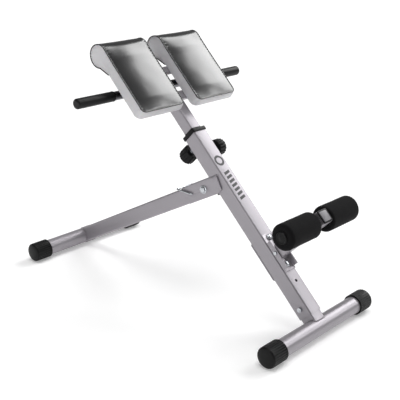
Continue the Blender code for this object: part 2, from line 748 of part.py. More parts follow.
def carrier(frame):
    """The bolted saddle on the post's upper side, its backing plate and their bolts."""
    seat = POST / 2 + GAP
    top = seat + CARRIER_PLATE
    length = CARRIER_END - CARRIER_START
    middle = (CARRIER_START + CARRIER_END) / 2
    flange = FLANGE_TALL + CARRIER_PLATE
    plate = piece("roller_carrier", box((2 * CARRIER_HALF, flange, length), (0, seat + flange / 2, middle)),
                  "silver_paint", frame)
    inner = ARM + 4 * GAP
    cut(plate, box((inner, flange, 2 * length), (0, top + flange / 2, middle)), "channel")
    for place, centre in (("lower", FLANGE_START - 0.1), ("upper", FLANGE_END + 0.1)):
        cut(plate, box((0.1, flange, 0.2), (0, top + flange / 2, centre)), f"{place}_flat")
    backing = piece("backing_plate", box((2 * CARRIER_HALF, CARRIER_PLATE, length),
                                         (0, -seat - CARRIER_PLATE / 2, middle)), "silver_paint", frame)
    for place, height in CARRIER_BOLTS.items():
        drill(plate, f"{place}_hole", M8_HOLE_R, "y", (0, top, height), 0.01)
        drill(backing, f"{place}_hole", M8_HOLE_R, "y", (0, -top, height), 0.01)
        length_below = 2 * top + 2 * GAP + 0.0085
        shape = turned([(0, -length_below), (0.0034, -length_below), (M8_R, -length_below + 0.001),
                        (M8_R, 0), (0.009, 0), (0.0082, 0.0022), (0.0055, 0.0040), (0, 0.0046)], 20)
        piece(f"{place}_carrier_bolt", turn_to(shape, "y"), "zinc_plate", frame, (0, top + GAP, height))
        flip_nut(f"{place}_carrier_nut", frame, (0, -top - GAP, height), "y",
                 M8_R + 0.0002, M8_FLATS, 0.0065)
    drill(plate, "arm_bolt_hole", M6_HOLE_R, "x", (0, ARM_BOLT_HIGH, ARM_AT), 0.05)


def roller_arm(frame):
    """The square arm that stands on the carrier, its end plug and its cross bolt."""
    foot = POST / 2 + CARRIER_PLATE + 2 * GAP
    arm = piece("roller_arm", turn_to(square_tube(ARM, ARM, ARM_WALL, 0.004, foot, ARM_END), "y"),
                "silver_paint", frame, (0, 0, ARM_AT))
    drill(arm, "axle_hole", AXLE_R + GAP, "x", (0, ROLLER_OFF, 0), ARM, 24)
    drill(arm, "bolt_hole", M6_HOLE_R, "x", (0, ARM_BOLT_HIGH, 0), ARM)
    inner = ARM - 2 * ARM_WALL - 2 * GAP
    plug = piece("arm_plug", turn_to(prism(rounded(ARM, ARM, 0.004), ARM_END + GAP, ARM_END + 0.0035), "y"),
                 "black_plastic", frame, (0, 0, ARM_AT))
    join_solid(plug, turn_to(prism(rounded(inner, inner, 0.002), ARM_END - 0.012, ARM_END + 0.001), "y"))
    side = CARRIER_HALF + GAP
    bolt("arm_bolt", "zinc_plate", frame, (side, ARM_BOLT_HIGH, ARM_AT), "x", M6_R, M6_FLATS,
         0.004, 2 * side + 0.007)
    flip_nut("arm_nut", frame, (-side, ARM_BOLT_HIGH, ARM_AT), "x", M6_R + 0.0002, M6_FLATS, 0.005)


def roller_axle(frame):
    """The tube that carries both ankle rollers."""
    shape = pipe(circle(AXLE_R, 20), circle(AXLE_R - AXLE_WALL, 20), -ROLLER_OUTER, ROLLER_OUTER)
    piece("roller_axle", turn_to(shape, "x"), "bare_steel", frame)


def roller(side_name, frame, side):
    """A foam roller and the capped sleeve it turns on."""
    foam_bore = HUB_R + GAP
    edge = 0.010
    foam = [(foam_bore, ROLLER_INNER)]
    foam += arc((ROLLER_R - edge, ROLLER_INNER + edge), edge, -90, 0, 3)
    foam += arc((ROLLER_R - edge, ROLLER_OUTER - 0.0005 - edge), edge, 0, 90, 3)
    foam += [(foam_bore, ROLLER_OUTER - 0.0005)]
    bore = AXLE_R + GAP
    disc = ROLLER_OUTER + GAP
    hub = [(bore, ROLLER_INNER), (HUB_R, ROLLER_INNER), (HUB_R, disc), (HUB_DISC_R, disc),
           (HUB_DISC_R, disc + 0.0010), (HUB_DISC_R - 0.002, disc + 0.0025), (0, disc + 0.0025),
           (0, disc), (bore, disc)]
    for name, profile, look in ((f"foam_roller_{side_name}", foam, "black_foam"),
                                (f"roller_hub_{side_name}", hub, "black_plastic")):
        shape = turn_to(turned(profile, 24), "x")
        if side < 0:
            bmesh.ops.scale(shape, vec=(-1, 1, 1), verts=shape.verts)
        piece(name, shape, look, frame)


# ---------------------------------------------------------------- the whole bench

def clear_scene():
    """Remove every object, so that the script starts from nothing."""
    for old in list(bpy.data.objects):
        bpy.data.objects.remove(old)


def pivot_in_post_frame():
    """The fold pivot's place in the post frame, from the stance and the leg's reach."""
    y = -2 * BASE_HALF + PIVOT_REACH * math.cos(LEG_ANGLE)
    z = PIVOT_REACH * math.sin(LEG_ANGLE)
    along = -y * math.cos(POST_ANGLE) + z * math.sin(POST_ANGLE)
    off = y * math.sin(POST_ANGLE) + z * math.cos(POST_ANGLE)
    return 0.0, off, along


def build():
    """Make every sub-part in its own frame."""
    clear_scene()
    post_frame = helper("post_frame", None, (0, BASE_HALF, FOOT_R), (math.pi / 2 - POST_ANGLE, 0, 0))
    leg_turn = POST_ANGLE + LEG_ANGLE - math.pi
    bracket_frame = helper("bracket_frame", post_frame, pivot_in_post_frame(), (leg_turn, 0, 0))
    leg_frame = helper("leg_frame", bracket_frame)
    foot_frame = helper("front_foot_frame", leg_frame, (0, 0, -PIVOT_REACH))
    # The wire's run points to the leg's foot, lifted by its rest angle towards the upper side.
    bail_frame = helper("bail_frame", bracket_frame, (0, 0, -LOCK_REACH), (math.pi - BAIL_LIFT, 0, 0))
    slide_frame = helper("slide_frame", post_frame)
    pin_frame = helper("pin_frame", post_frame, (0, 0, PIN_AT), (math.pi / 2, 0, 0))
    clamp_frame = helper("clamp_frame", post_frame, (0, 0, CLAMP_AT), (0, -math.pi / 2, 0))
    roller_frame = helper("roller_frame", post_frame, (0, ROLLER_OFF, ARM_AT))

    main_post(post_frame)
    collar(post_frame)
    post_stub(post_frame)
    fold_bumper(post_frame)
    cross_tube("rear_cross_tube", post_frame)
    cross_tube("front_cross_tube", foot_frame)
    for side_name, side in (("left", 1), ("right", -1)):
        end_cap(f"rear_cap_{side_name}", post_frame, side)
        end_cap(f"front_cap_{side_name}", foot_frame, side)
        grip(f"grip_{side_name}", slide_frame, side)
        pad(f"pad_{side_name}", slide_frame, side)
        pad_board(f"pad_board_{side_name}", slide_frame, side)
        for place, (centre, wide) in CHANNELS.items():
            pad_screw(f"{place}_pad_screw_{side_name}", slide_frame, side, centre)
        roller(side_name, roller_frame, side)

    front_leg(leg_frame)
    leg_plug(leg_frame)
    leg_bracket(bracket_frame)
    pivot(bracket_frame, leg_frame)
    lock_wire(bail_frame)

    sliding_tube(slide_frame)
    tube_ends(slide_frame)
    handlebar(slide_frame)
    for place, (centre, wide) in CHANNELS.items():
        channel(f"{place}_channel", slide_frame, centre, wide)

    pull_pin(pin_frame)
    pin_spring(pin_frame)
    clamp(clamp_frame)

    carrier(post_frame)
    roller_arm(post_frame)
    roller_axle(roller_frame)


build()
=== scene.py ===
# %% [markdown]
# # Dressing a roman chair
# The bench is already built as a frame of solids that fit and move. This lesson gives every
# piece its finish: powder-coated tubes with welds, ribbed plastic feet, foam rollers and two
# sewn vinyl pads. Nothing here moves or resizes the frame, so a piece's place is always read
# from the frame and never typed in.

# %% Load the frame
import json
import math

import bmesh
import bpy
import numpy as np
from mathutils import Matrix, Vector, noise
from mathutils.kdtree import KDTree


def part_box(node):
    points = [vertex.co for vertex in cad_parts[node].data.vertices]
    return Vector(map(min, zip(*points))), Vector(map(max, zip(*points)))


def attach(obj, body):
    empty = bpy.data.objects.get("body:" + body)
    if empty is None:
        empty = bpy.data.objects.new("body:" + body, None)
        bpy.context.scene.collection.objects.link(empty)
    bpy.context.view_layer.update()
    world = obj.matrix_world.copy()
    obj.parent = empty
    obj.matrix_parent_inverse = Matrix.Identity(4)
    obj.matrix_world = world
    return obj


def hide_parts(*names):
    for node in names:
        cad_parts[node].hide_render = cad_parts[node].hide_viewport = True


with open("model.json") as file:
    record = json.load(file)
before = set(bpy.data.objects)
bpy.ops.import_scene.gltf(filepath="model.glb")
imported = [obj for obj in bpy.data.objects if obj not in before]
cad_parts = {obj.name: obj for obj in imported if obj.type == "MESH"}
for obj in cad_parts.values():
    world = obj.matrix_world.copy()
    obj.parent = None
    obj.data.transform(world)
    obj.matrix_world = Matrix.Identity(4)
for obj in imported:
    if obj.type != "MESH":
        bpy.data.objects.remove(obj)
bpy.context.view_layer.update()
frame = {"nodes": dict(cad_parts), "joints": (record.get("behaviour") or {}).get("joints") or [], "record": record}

MM = 0.001

# %% [markdown]
# Most tubes lie along two slanted lines: the main post and the front leg. A matrix for each
# line lets a piece be modelled upright and then laid in place. In both, local X stays the
# bench's X and local Z runs up the tube. The directions come from the joints, because the
# height slide moves exactly along the post.

# %% Two slanted frames
JOINTS = {joint["name"]: joint for joint in frame["joints"]}


def middle(node):
    """The middle of a node's box."""
    low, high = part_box(node)
    return (Vector(low) + Vector(high)) / 2


def slanted(origin, along):
    """A frame whose Z runs along the given direction and whose X stays the bench's X."""
    up = Vector(along).normalized()
    across = Vector((1, 0, 0))
    place = Matrix((across, up.cross(across), up)).transposed().to_4x4()
    place.translation = origin
    return place


pivot_point = Vector(JOINTS["leg_fold"]["pos_m"])
POST = slanted(middle("rear_cross_tube"), JOINTS["height_slide"]["axis"])
LEG = slanted(pivot_point, pivot_point - middle("front_cross_tube"))
print("post leans", round(math.degrees(math.acos(POST.col[2].z)), 1), "degrees from upright")


def span(node, place=POST):
    """A node's lowest and highest corner, measured in a slanted frame."""
    into = np.array(place.inverted())
    points = np.array([v.co[:] for v in frame["nodes"][node].data.vertices])
    local = points @ into[:3, :3].T + into[:3, 3]
    return Vector(local.min(0)), Vector(local.max(0))


def middle_in(node, place=POST):
    """The middle of a node's box, measured in a slanted frame."""
    low, high = span(node, place)
    return (low + high) / 2


def radius_of(node):
    """The radius of a round node that lies along X."""
    low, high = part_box(node)
    return (high[2] - low[2]) / 2


def run_of(node):
    """How far from the bench's middle a node starts and ends."""
    return sorted(abs(corner[0]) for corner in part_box(node))


pin_height = middle_in("pull_pin").z
PIN = POST @ Matrix.Translation((0, 0, pin_height)) @ Matrix.Rotation(math.pi / 2, 4, "X")

# %% [markdown]
# ## Helpers for meshes
# A tube is two outlines joined end to end, a knob is a turned profile, and a plate is an
# outline pushed along. Three short functions make all of these, and one more lays the result
# along an axis. They return a bmesh, so a piece can still be cut or joined before it is kept.

# %% Outlines
def circle(radius, sides=64):
    """Points of a round outline, counter-clockwise."""
    steps = [2 * math.pi * i / sides for i in range(sides)]
    return [(radius * math.cos(a), radius * math.sin(a)) for a in steps]


def arc(centre, radius, first, last, steps):
    """Points of an arc between two angles in degrees."""
    turn = [math.radians(first + (last - first) * i / steps) for i in range(steps + 1)]
    return [(centre[0] + radius * math.cos(a), centre[1] + radius * math.sin(a)) for a in turn]


def rounded(wide, deep, radius, steps=6):
    """A rectangle with round corners, counter-clockwise."""
    points = []
    for quarter, (sx, sy) in enumerate(((1, 1), (-1, 1), (-1, -1), (1, -1))):
        centre = (sx * (wide / 2 - radius), sy * (deep / 2 - radius))
        points += arc(centre, radius, 90 * quarter, 90 * quarter + 90, steps)
    return points


# %% Solids
def prism(outline, start, end):
    """A solid bar along Z with the outline as its section."""
    mesh = bmesh.new()
    rings = [[mesh.verts.new((x, y, z)) for x, y in outline] for z in (start, end)]
    mesh.faces.new(rings[0][::-1])
    mesh.faces.new(rings[1])
    bridge(mesh, rings[0], rings[1])
    return mesh


def bridge(mesh, ring, following):
    """Quads between two closed rings of the same length, or a fan to a single point."""
    count = max(len(ring), len(following))
    for i in range(count):
        j = (i + 1) % count
        corners = [ring[i % len(ring)], ring[j % len(ring)],
                   following[j % len(following)], following[i % len(following)]]
        kept = list(dict.fromkeys(corners))
        if len(kept) > 2:
            mesh.faces.new(kept)


def pipe(outer, inner, start, end):
    """A hollow bar along Z."""
    mesh = bmesh.new()
    rings = [[mesh.verts.new((x, y, z)) for x, y in outline]
             for outline, z in ((outer, start), (outer, end), (inner, end), (inner, start))]
    for ring, following in zip(rings, rings[1:] + rings[:1]):
        bridge(mesh, ring, following)
    return mesh


def turned(profile, sides=64):
    """A round solid about Z from (radius, height) points; a loop if it never meets the axis."""
    mesh = bmesh.new()
    rings = []
    for radius, height in profile:
        outline = circle(radius, sides) if radius > 0 else [(0, 0)]
        rings.append([mesh.verts.new((x, y, height)) for x, y in outline])
    for ring, following in zip(rings, rings[1:]):
        bridge(mesh, ring, following)
    if profile[0][0] > 0 and profile[-1][0] > 0:
        bridge(mesh, rings[-1], rings[0])
    return mesh


AXES = {"x": Matrix(((0, 0, 1, 0), (1, 0, 0, 0), (0, 1, 0, 0), (0, 0, 0, 1))),
        "y": Matrix(((0, 1, 0, 0), (0, 0, 1, 0), (1, 0, 0, 0), (0, 0, 0, 1))),
        "z": Matrix.Identity(4)}


def lay(mesh, axis="z", centre=(0, 0, 0), flip=False):
    """Turn an upright shape along an axis, mirror it if asked, and move it to its centre."""
    if flip:
        mesh.transform(Matrix.Diagonal((1, 1, -1, 1)))
    mesh.transform(Matrix.Translation(centre) @ AXES[axis])
    return mesh


# %% Keeping a piece
def link(name, data):
    """A new object in the scene, at the origin."""
    made = bpy.data.objects.new(name, data)
    bpy.context.collection.objects.link(made)
    return made


def shade(data, angle):
    """Smooth shading, but with every edge above the angle in degrees kept sharp."""
    data.shade_smooth()
    data.set_sharp_from_angle(angle=math.radians(angle))


def keep(name, mesh, place=POST, smooth=35):
    """Store a bmesh in the bench's own frame as an object at the origin."""
    bmesh.ops.remove_doubles(mesh, verts=mesh.verts, dist=0.00001)
    bmesh.ops.recalc_face_normals(mesh, faces=mesh.faces)
    mesh.transform(place)
    data = bpy.data.meshes.new(name)
    mesh.to_mesh(data)
    mesh.free()
    shade(data, smooth)
    return link(name, data)


def settle(made):
    """Turn an object's modifiers into its plain mesh."""
    seen = made.evaluated_get(bpy.context.evaluated_depsgraph_get())
    data = bpy.data.meshes.new_from_object(seen)
    made.modifiers.clear()
    made.data = data
    return made


def carve(made, tools, place=POST, smooth=35):
    """Cut a list of bmeshes out of a piece."""
    for i, tool in enumerate(tools):
        cutter = keep(f"{made.name}_tool", tool, place)
        cutter.hide_render = True
        cut = made.modifiers.new(f"cut_{i}", "BOOLEAN")
        cut.operation = "DIFFERENCE"
        cut.object = cutter
    cutters = [m.object for m in made.modifiers if m.type == "BOOLEAN"]
    settle(made)
    shade(made.data, smooth)
    for cutter in cutters:
        bpy.data.objects.remove(cutter)
    return made


def hole(radius, axis, centre, reach, sides=32):
    """A round cutter that reaches both ways from its centre."""
    return lay(prism(circle(radius, sides), -reach, reach), axis, centre)


# %% [markdown]
# ## Helpers for materials
# Colours are written as the hex codes of paint charts, which are sRGB, while the shader works
# with linear light. One function converts. A second adds a node with its settings and links,
# so each material below reads as a short recipe. Patterns use Object coordinates in metres,
# so a scale of 1000 means one cell per millimetre.

# %% Material helpers
def linear(code, alpha=1.0):
    """Linear colour from a hex code."""
    parts = [int(code[i:i + 2], 16) / 255 for i in (0, 2, 4)]
    return (*[p / 12.92 if p <= 0.04045 else ((p + 0.055) / 1.055) ** 2.4 for p in parts], alpha)


def add(tree, kind, inputs=None, **settings):
    """Add a node; an input is linked if it is given a socket, and set if it is given a value."""
    made = tree.nodes.new(kind)
    for key, value in settings.items():
        setattr(made, key, value)
    for key, value in (inputs or {}).items():
        if isinstance(value, bpy.types.NodeSocket):
            tree.links.new(value, made.inputs[key])
        else:
            made.inputs[key].default_value = value
    return made


def material(name, colour, roughness, **more):
    """A new material with its shader's plain values set; returns it, its tree and its shader."""
    made = bpy.data.materials.new(name)
    made.use_nodes = True
    shader = made.node_tree.nodes["Principled BSDF"]
    shader.inputs["Base Color"].default_value = linear(colour)
    shader.inputs["Roughness"].default_value = roughness
    for key, value in more.items():
        shader.inputs[key.replace("_", " ")].default_value = value
    made.diffuse_color = linear(colour)
    return made, made.node_tree, shader


def pattern(tree, shader, tint=None, gloss=None, relief=None):
    """End a finish: one pattern mixes two colours, one sets the roughness, one the height."""
    if tint:
        mixed = add(tree, "ShaderNodeMix", {"Factor": tint[0], 6: linear(tint[1]), 7: linear(tint[2])},
                    data_type="RGBA")
        tree.links.new(mixed.outputs[2], shader.inputs["Base Color"])
    if gloss:
        spread = add(tree, "ShaderNodeMapRange", {"Value": gloss[0], "To Min": gloss[1],
                                                  "To Max": gloss[2]})
        tree.links.new(spread.outputs["Result"], shader.inputs["Roughness"])
    if relief:
        bump = add(tree, "ShaderNodeBump", {"Height": relief[0], "Strength": relief[1],
                                            "Distance": relief[2]})
        tree.links.new(bump.outputs["Normal"], shader.inputs["Normal"])


# %% [markdown]
# ### Silver powder coat
# The tubes are mild steel, blasted and powder coated. The powder melts into a satin film with
# a faint orange-peel surface and fine metal flake, so it is a little metallic but never a
# mirror. A flake pattern about 0.6 mm across shifts the colour slightly, a slower cloud
# changes the gloss where hands wear it, and a 3 mm ripple is the orange peel.

# %% Powder coat
def powder_coat():
    """Satin silver powder coat with flake, orange peel and slightly uneven gloss."""
    made, tree, shader = material("silver_powder_coat", "9f9ba0", 0.36, Metallic=0.4)
    place = add(tree, "ShaderNodeTexCoord").outputs["Object"]
    flake = add(tree, "ShaderNodeTexVoronoi", {"Vector": place, "Scale": 1 / (0.6 * MM)})
    cloud = add(tree, "ShaderNodeTexNoise", {"Vector": place, "Scale": 1 / (40 * MM), "Detail": 4.0})
    peel = add(tree, "ShaderNodeTexNoise", {"Vector": place, "Scale": 1 / (3 * MM), "Detail": 2.0})
    pattern(tree, shader, tint=(flake.outputs["Distance"], "a39fa4", "979399"),
            gloss=(cloud.outputs["Fac"], 0.30, 0.42), relief=(peel.outputs["Fac"], 0.10, 0.10 * MM))
    return made


SILVER = powder_coat()

# %% [markdown]
# ### Zinc plate and drawn steel
# Screws, nuts and the lock wire are zinc plated: a thin bright metal with a cool cast and
# soft cloudy patches. The handlebar and the rollers' axle are drawn steel tube with fine
# lines around them, darker than zinc. Both are full metals, so the colour is the reflection.

# %% Metals
def zinc_plate():
    """Bright zinc with a faint cloud in colour and gloss."""
    made, tree, shader = material("zinc_plated_steel", "c2c5ca", 0.28, Metallic=1.0)
    place = add(tree, "ShaderNodeTexCoord").outputs["Object"]
    cloud = add(tree, "ShaderNodeTexNoise", {"Vector": place, "Scale": 1 / (4 * MM), "Detail": 3.0})
    pattern(tree, shader, tint=(cloud.outputs["Fac"], "d0d3d8", "aeb1b4"),
            gloss=(cloud.outputs["Fac"], 0.20, 0.38))
    return made


def drawn_steel(name, colour):
    """Steel tube with fine draw lines and slightly uneven gloss."""
    made, tree, shader = material(name, colour, 0.26, Metallic=1.0)
    place = add(tree, "ShaderNodeTexCoord").outputs["Object"]
    stretched = add(tree, "ShaderNodeMapping", {"Vector": place, "Scale": (20, 900, 900)})
    lines = add(tree, "ShaderNodeTexNoise", {"Vector": stretched.outputs["Vector"], "Scale": 1.0,
                                             "Detail": 2.0})
    pattern(tree, shader, gloss=(lines.outputs["Fac"], 0.20, 0.36),
            relief=(lines.outputs["Fac"], 0.15, 0.03 * MM))
    return made


ZINC = zinc_plate()
STEEL = drawn_steel("drawn_steel_tube", "6f6f73")
SPRING = drawn_steel("oiled_spring_steel", "5a5a5c")  # darker, as oil dulls the wire

# %% [markdown]
# ### Black mouldings, rubber and foam
# Three blacks that must not look alike. The feet, knobs, plugs and collar are moulded
# polypropylene with a fine spark-eroded grain. The grips are smooth dipped rubber with a soft
# sheen. The ankle rollers are closed-cell foam: very rough, full of tiny pits, and a little
# dusty, which lifts the black where the light grazes it.

# %% Mouldings, rubber and foam
def grained(name, dark, light, grain, depth, rough, kind="ShaderNodeTexNoise"):
    """A black moulded surface: a fine grain in its height, and a faint cloud in its colour."""
    made, tree, shader = material(name, dark, sum(rough) / 2)
    place = add(tree, "ShaderNodeTexCoord").outputs["Object"]
    cloud = add(tree, "ShaderNodeTexNoise", {"Vector": place, "Scale": 1 / (25 * MM), "Detail": 5.0})
    cells = add(tree, kind, {"Vector": place, "Scale": 1 / grain})
    pattern(tree, shader, tint=(cloud.outputs["Fac"], dark, light),
            gloss=(cloud.outputs["Fac"], *rough), relief=(cells.outputs[0], 0.5, depth))
    return made, shader


PLASTIC, plastic_shader = grained("moulded_polypropylene", "0b0b0c", "131314", 0.5 * MM, 0.03 * MM,
                                  (0.32, 0.45))
plastic_shader.inputs["Specular IOR Level"].default_value = 0.16
RUBBER, rubber_shader = grained("dipped_rubber", "0a0a0b", "111112", 0.8 * MM, 0.02 * MM,
                                (0.36, 0.50))
rubber_shader.inputs["Specular IOR Level"].default_value = 0.25
FOAM, foam_shader = grained("closed_cell_foam", "0a0a0b", "100f11", 1.1 * MM, 0.25 * MM,
                            (0.78, 0.92), "ShaderNodeTexVoronoi")
foam_shader.inputs["Specular IOR Level"].default_value = 0.12
foam_shader.inputs["Sheen Weight"].default_value = 0.04
foam_shader.inputs["Sheen Roughness"].default_value = 0.5
print("made", len(bpy.data.materials), "materials so far")

# %% [markdown]
# ### Vinyl and plywood
# The pads are covered in upholstery vinyl, a soft PVC film embossed with a leather grain on a
# knitted back. The top panel is black and shiny, the boxing round the sides is white. The
# grain is a network of rounded cells about 1.6 mm across, so a Voronoi pattern makes the
# valleys, and a finer noise breaks the shine inside each cell. The boards underneath are
# plywood stained black, with long grain.

# %% Vinyl and plywood
def vinyl(name, colour, other, rough, depth):
    """Embossed upholstery vinyl."""
    made, tree, shader = material(name, colour, sum(rough) / 2)
    place = add(tree, "ShaderNodeTexCoord").outputs["Object"]
    drift = add(tree, "ShaderNodeTexNoise", {"Vector": place, "Scale": 1 / (1.5 * MM), "Detail": 2.0})
    bent = add(tree, "ShaderNodeVectorMath", {0: drift.outputs["Color"], 1: (0.8 * MM,) * 3, 2: place},
               operation="MULTIPLY_ADD")
    cells = add(tree, "ShaderNodeTexVoronoi", {"Vector": bent.outputs["Vector"], "Scale": 1 / (1.6 * MM)},
                feature="DISTANCE_TO_EDGE")
    valley = add(tree, "ShaderNodeMapRange", {"Value": cells.outputs["Distance"], "From Max": 0.16})
    cloud = add(tree, "ShaderNodeTexNoise", {"Vector": place, "Scale": 1 / (30 * MM), "Detail": 4.0})
    pattern(tree, shader, tint=(cloud.outputs["Fac"], colour, other),
            gloss=(cloud.outputs["Fac"], *rough), relief=(valley.outputs["Result"], 0.35, depth))
    return made, shader


BLACK_VINYL, black_shader = vinyl("black_upholstery_vinyl", "0d0d0f", "121214", (0.28, 0.34), 0.04 * MM)
black_shader.inputs["Specular IOR Level"].default_value = 0.2
black_shader.inputs["Coat Weight"].default_value = 1.0
black_shader.inputs["Coat Roughness"].default_value = 0.21
WHITE_VINYL, white_shader = vinyl("white_upholstery_vinyl", "d3d2d4", "c9c8cb", (0.40, 0.50), 0.05 * MM)
white_shader.inputs["Subsurface Weight"].default_value = 0.05
white_shader.inputs["Subsurface Scale"].default_value = 1.5 * MM


def plywood():
    """Plywood stained black, with long grain along the board."""
    made, tree, shader = material("black_stained_plywood", "2a2622", 0.6)
    place = add(tree, "ShaderNodeTexCoord").outputs["Object"]
    stretched = add(tree, "ShaderNodeMapping", {"Vector": place, "Scale": (350, 25, 25)})
    grain = add(tree, "ShaderNodeTexNoise", {"Vector": stretched.outputs["Vector"], "Scale": 1.0,
                                             "Detail": 6.0})
    pattern(tree, shader, tint=(grain.outputs["Fac"], "302b27", "1e1b19"),
            relief=(grain.outputs["Fac"], 0.3, 0.1 * MM))
    return made


PLYWOOD = plywood()
# Screen print ink dries to an even satin film, so one colour and one roughness are enough.
INK = material("screen_print_ink", "1d1c20", 0.45)[0]

# %% [markdown]
# ## Who carries what
# A piece has to know its finish, the body it moves with and the frame solid it stands for.
# One function says all three. The bodies come from the frame's own record.

# %% Dressing a piece
CARRIER_OF = {node: body for body, nodes in frame["record"]["behaviour"]["bodies"].items()
              for node in nodes}
dressed = []


def dress(made, finish, body=None, stands_for=None):
    """Give a piece its finish, its body and, if it has one, the solid it stands for."""
    if not made.data.materials:
        made.data.materials.append(finish)
    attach(made, body or CARRIER_OF[stands_for])
    if stands_for:
        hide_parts(stands_for)
    dressed.append(made.name)
    return made


# %% [markdown]
# ## Steel tubes
# Each square tube is rolled from strip, so its corners have a radius of about 5 mm that
# catches a thin line of light. The outline gets six steps per corner, and the holes are cut
# with Booleans, as a drill would. Where a tube is welded to a round one, its end is coped:
# cut to fit the round tube's side.

# %% Square tubes
def square_tube(node, place, wall, corner, tools=(), axis="z"):
    """A finer square tube in the place of a node, with its holes cut."""
    low, high = span(node, place)
    size = high - low
    centre = (low + high) / 2
    wide, deep, length = {"z": size.xyz, "y": size.zxy}[axis]
    bore = rounded(wide - 2 * wall, deep - 2 * wall, max(corner - wall, MM))
    shape = pipe(rounded(wide, deep, corner), bore, -length / 2, length / 2)
    made = keep(f"{node}_steel", lay(shape, axis, centre), place)
    carve(made, list(tools), place)
    return dress(made, SILVER, stands_for=node)


def bolt_hole(node, axis, radius, place=POST, reach=0.06):
    """A cutter on the line of a bolt that the frame already holds."""
    return hole(radius, axis, middle_in(node, place), reach)


cross_r = radius_of("rear_cross_tube")
post_half = span("main_post")[1].x
SPARE_HOLE_AT = 0.135
PIN_HOLE_R = 4.5 * MM
M6_HOLE_R, M8_HOLE_R, M10_HOLE_R = 3.3 * MM, 4.3 * MM, 5.3 * MM
FIT = 0.3 * MM
post_bolts = {"lower_carrier_bolt": "y", "upper_carrier_bolt": "y", "stub_bolt": "x"}
post_tools = [bolt_hole(node, axis, M8_HOLE_R) for node, axis in post_bolts.items()]
post_tools.append(hole(M8_HOLE_R, "y", (0, post_half, SPARE_HOLE_AT), 0.01))
for node, axis in (("pull_pin", "y"), ("clamp_stud", "x")):
    entry = middle_in(node)
    entry[0 if axis == "x" else 1] = -post_half
    post_tools.append(hole(PIN_HOLE_R, axis, entry, 0.01))
post = square_tube("main_post", POST, 2.5 * MM, 5 * MM, post_tools)
print("main post:", len(post.data.polygons), "faces")

# %% The sliding tube and its row of holes
slider_low, slider_high = span("sliding_tube")
handle_middle = POST.inverted() @ middle("handlebar")
HOLE_PITCH = 20 * MM
slider_tools = [hole(PIN_HOLE_R, "y", (0, slider_low.y, pin_height + step * HOLE_PITCH), 0.006)
                for step in range(-5, 4)]
slider_tools.append(hole(12.8 * MM, "x", (0, 0, handle_middle.z), 0.03, 48))
square_tube("sliding_tube", POST, 2 * MM, 4 * MM, slider_tools)

# %% The folding leg, the stub and the roller arm
leg_foot = LEG.inverted() @ middle("front_cross_tube")
lock_point = LEG.inverted() @ Vector(JOINTS["lock_swing"]["pos_m"])
leg_tools = [hole(cross_r + FIT, "x", leg_foot, 0.05, 64), hole(M10_HOLE_R, "x", (0, 0, 0), 0.05),
             hole(M6_HOLE_R, "x", lock_point, 0.05)]
square_tube("front_leg", LEG, 2 * MM, 5 * MM, leg_tools)
square_tube("rear_stub", POST, 2.5 * MM, 3.5 * MM,
            [hole(cross_r + FIT, "x", (0, 0, 0), 0.05, 64), bolt_hole("stub_bolt", "x", M8_HOLE_R)])
axle_point = POST.inverted() @ middle("roller_axle")
arm_tools = [hole(10.3 * MM, "x", axle_point, 0.04, 48), bolt_hole("arm_bolt", "x", M6_HOLE_R)]
square_tube("roller_arm", POST, 2 * MM, 4 * MM, arm_tools, axis="y")


# %% Round tubes
def round_tube(node, wall, finish, sides=96):
    """A finer round tube along X in the place of a node."""
    radius = radius_of(node)
    half = (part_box(node)[1][0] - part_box(node)[0][0]) / 2
    shape = pipe(circle(radius, sides), circle(radius - wall, sides), -half, half)
    return dress(keep(f"{node}_steel", lay(shape, "x", middle(node)), Matrix.Identity(4)),
                 finish, stands_for=node)


for node in ("rear_cross_tube", "front_cross_tube"):
    round_tube(node, 2 * MM, SILVER)
for node in ("handlebar", "roller_axle"):
    round_tube(node, 2.2 * MM, STEEL)
print("tubes done:", len(dressed), "pieces")

# %% [markdown]
# ## Folded and pressed steel
# The pivot bracket is one plate bent into a channel: two cheeks and a web. A bent plate has
# round outside corners, so the channel's section is drawn with arcs, pushed along, and its
# side shape is then cut away, in the order a press shop would punch it. The roller carrier,
# the pad channels and the backing plate are made in the same way.

# %% Channels
def channel_outline(half, top, low, wall, bend):
    """A U section, open towards negative Y, with its two bends rounded inside and out."""
    tight = max(bend - wall, 0.3 * MM)
    near, far = (half - bend, top - bend), (bend - half, top - bend)
    outer = arc(near, bend, 0, 90, 6) + arc(far, bend, 90, 180, 6)
    inner = arc(far, tight, 180, 90, 6) + arc(near, tight, 90, 0, 6)
    return [(half, low)] + outer + [(-half, low), (wall - half, low)] + inner + [(half - wall, low)]


def block(low, high):
    """A plain cutter between two corners."""
    low, high = Vector(low), Vector(high)
    shape = bmesh.new()
    place = Matrix.Translation((low + high) / 2) @ Matrix.Diagonal((*(high - low), 1))
    bmesh.ops.create_cube(shape, size=1.0, matrix=place)
    return shape


def wedge(points, half):
    """A cutter with a side outline of (height, up) points, pushed along X both ways."""
    return lay(prism([(y, z) for y, z in points], -half, half), "x")


def soften(made, width, angle=40):
    """Round the sharp edges of a piece slightly, so that they catch the light."""
    edge = made.modifiers.new("edge", "BEVEL")
    edge.width = width
    edge.segments = 2
    edge.limit_method = "ANGLE"
    edge.angle_limit = math.radians(angle)
    settle(made)
    shade(made.data, angle)
    return made


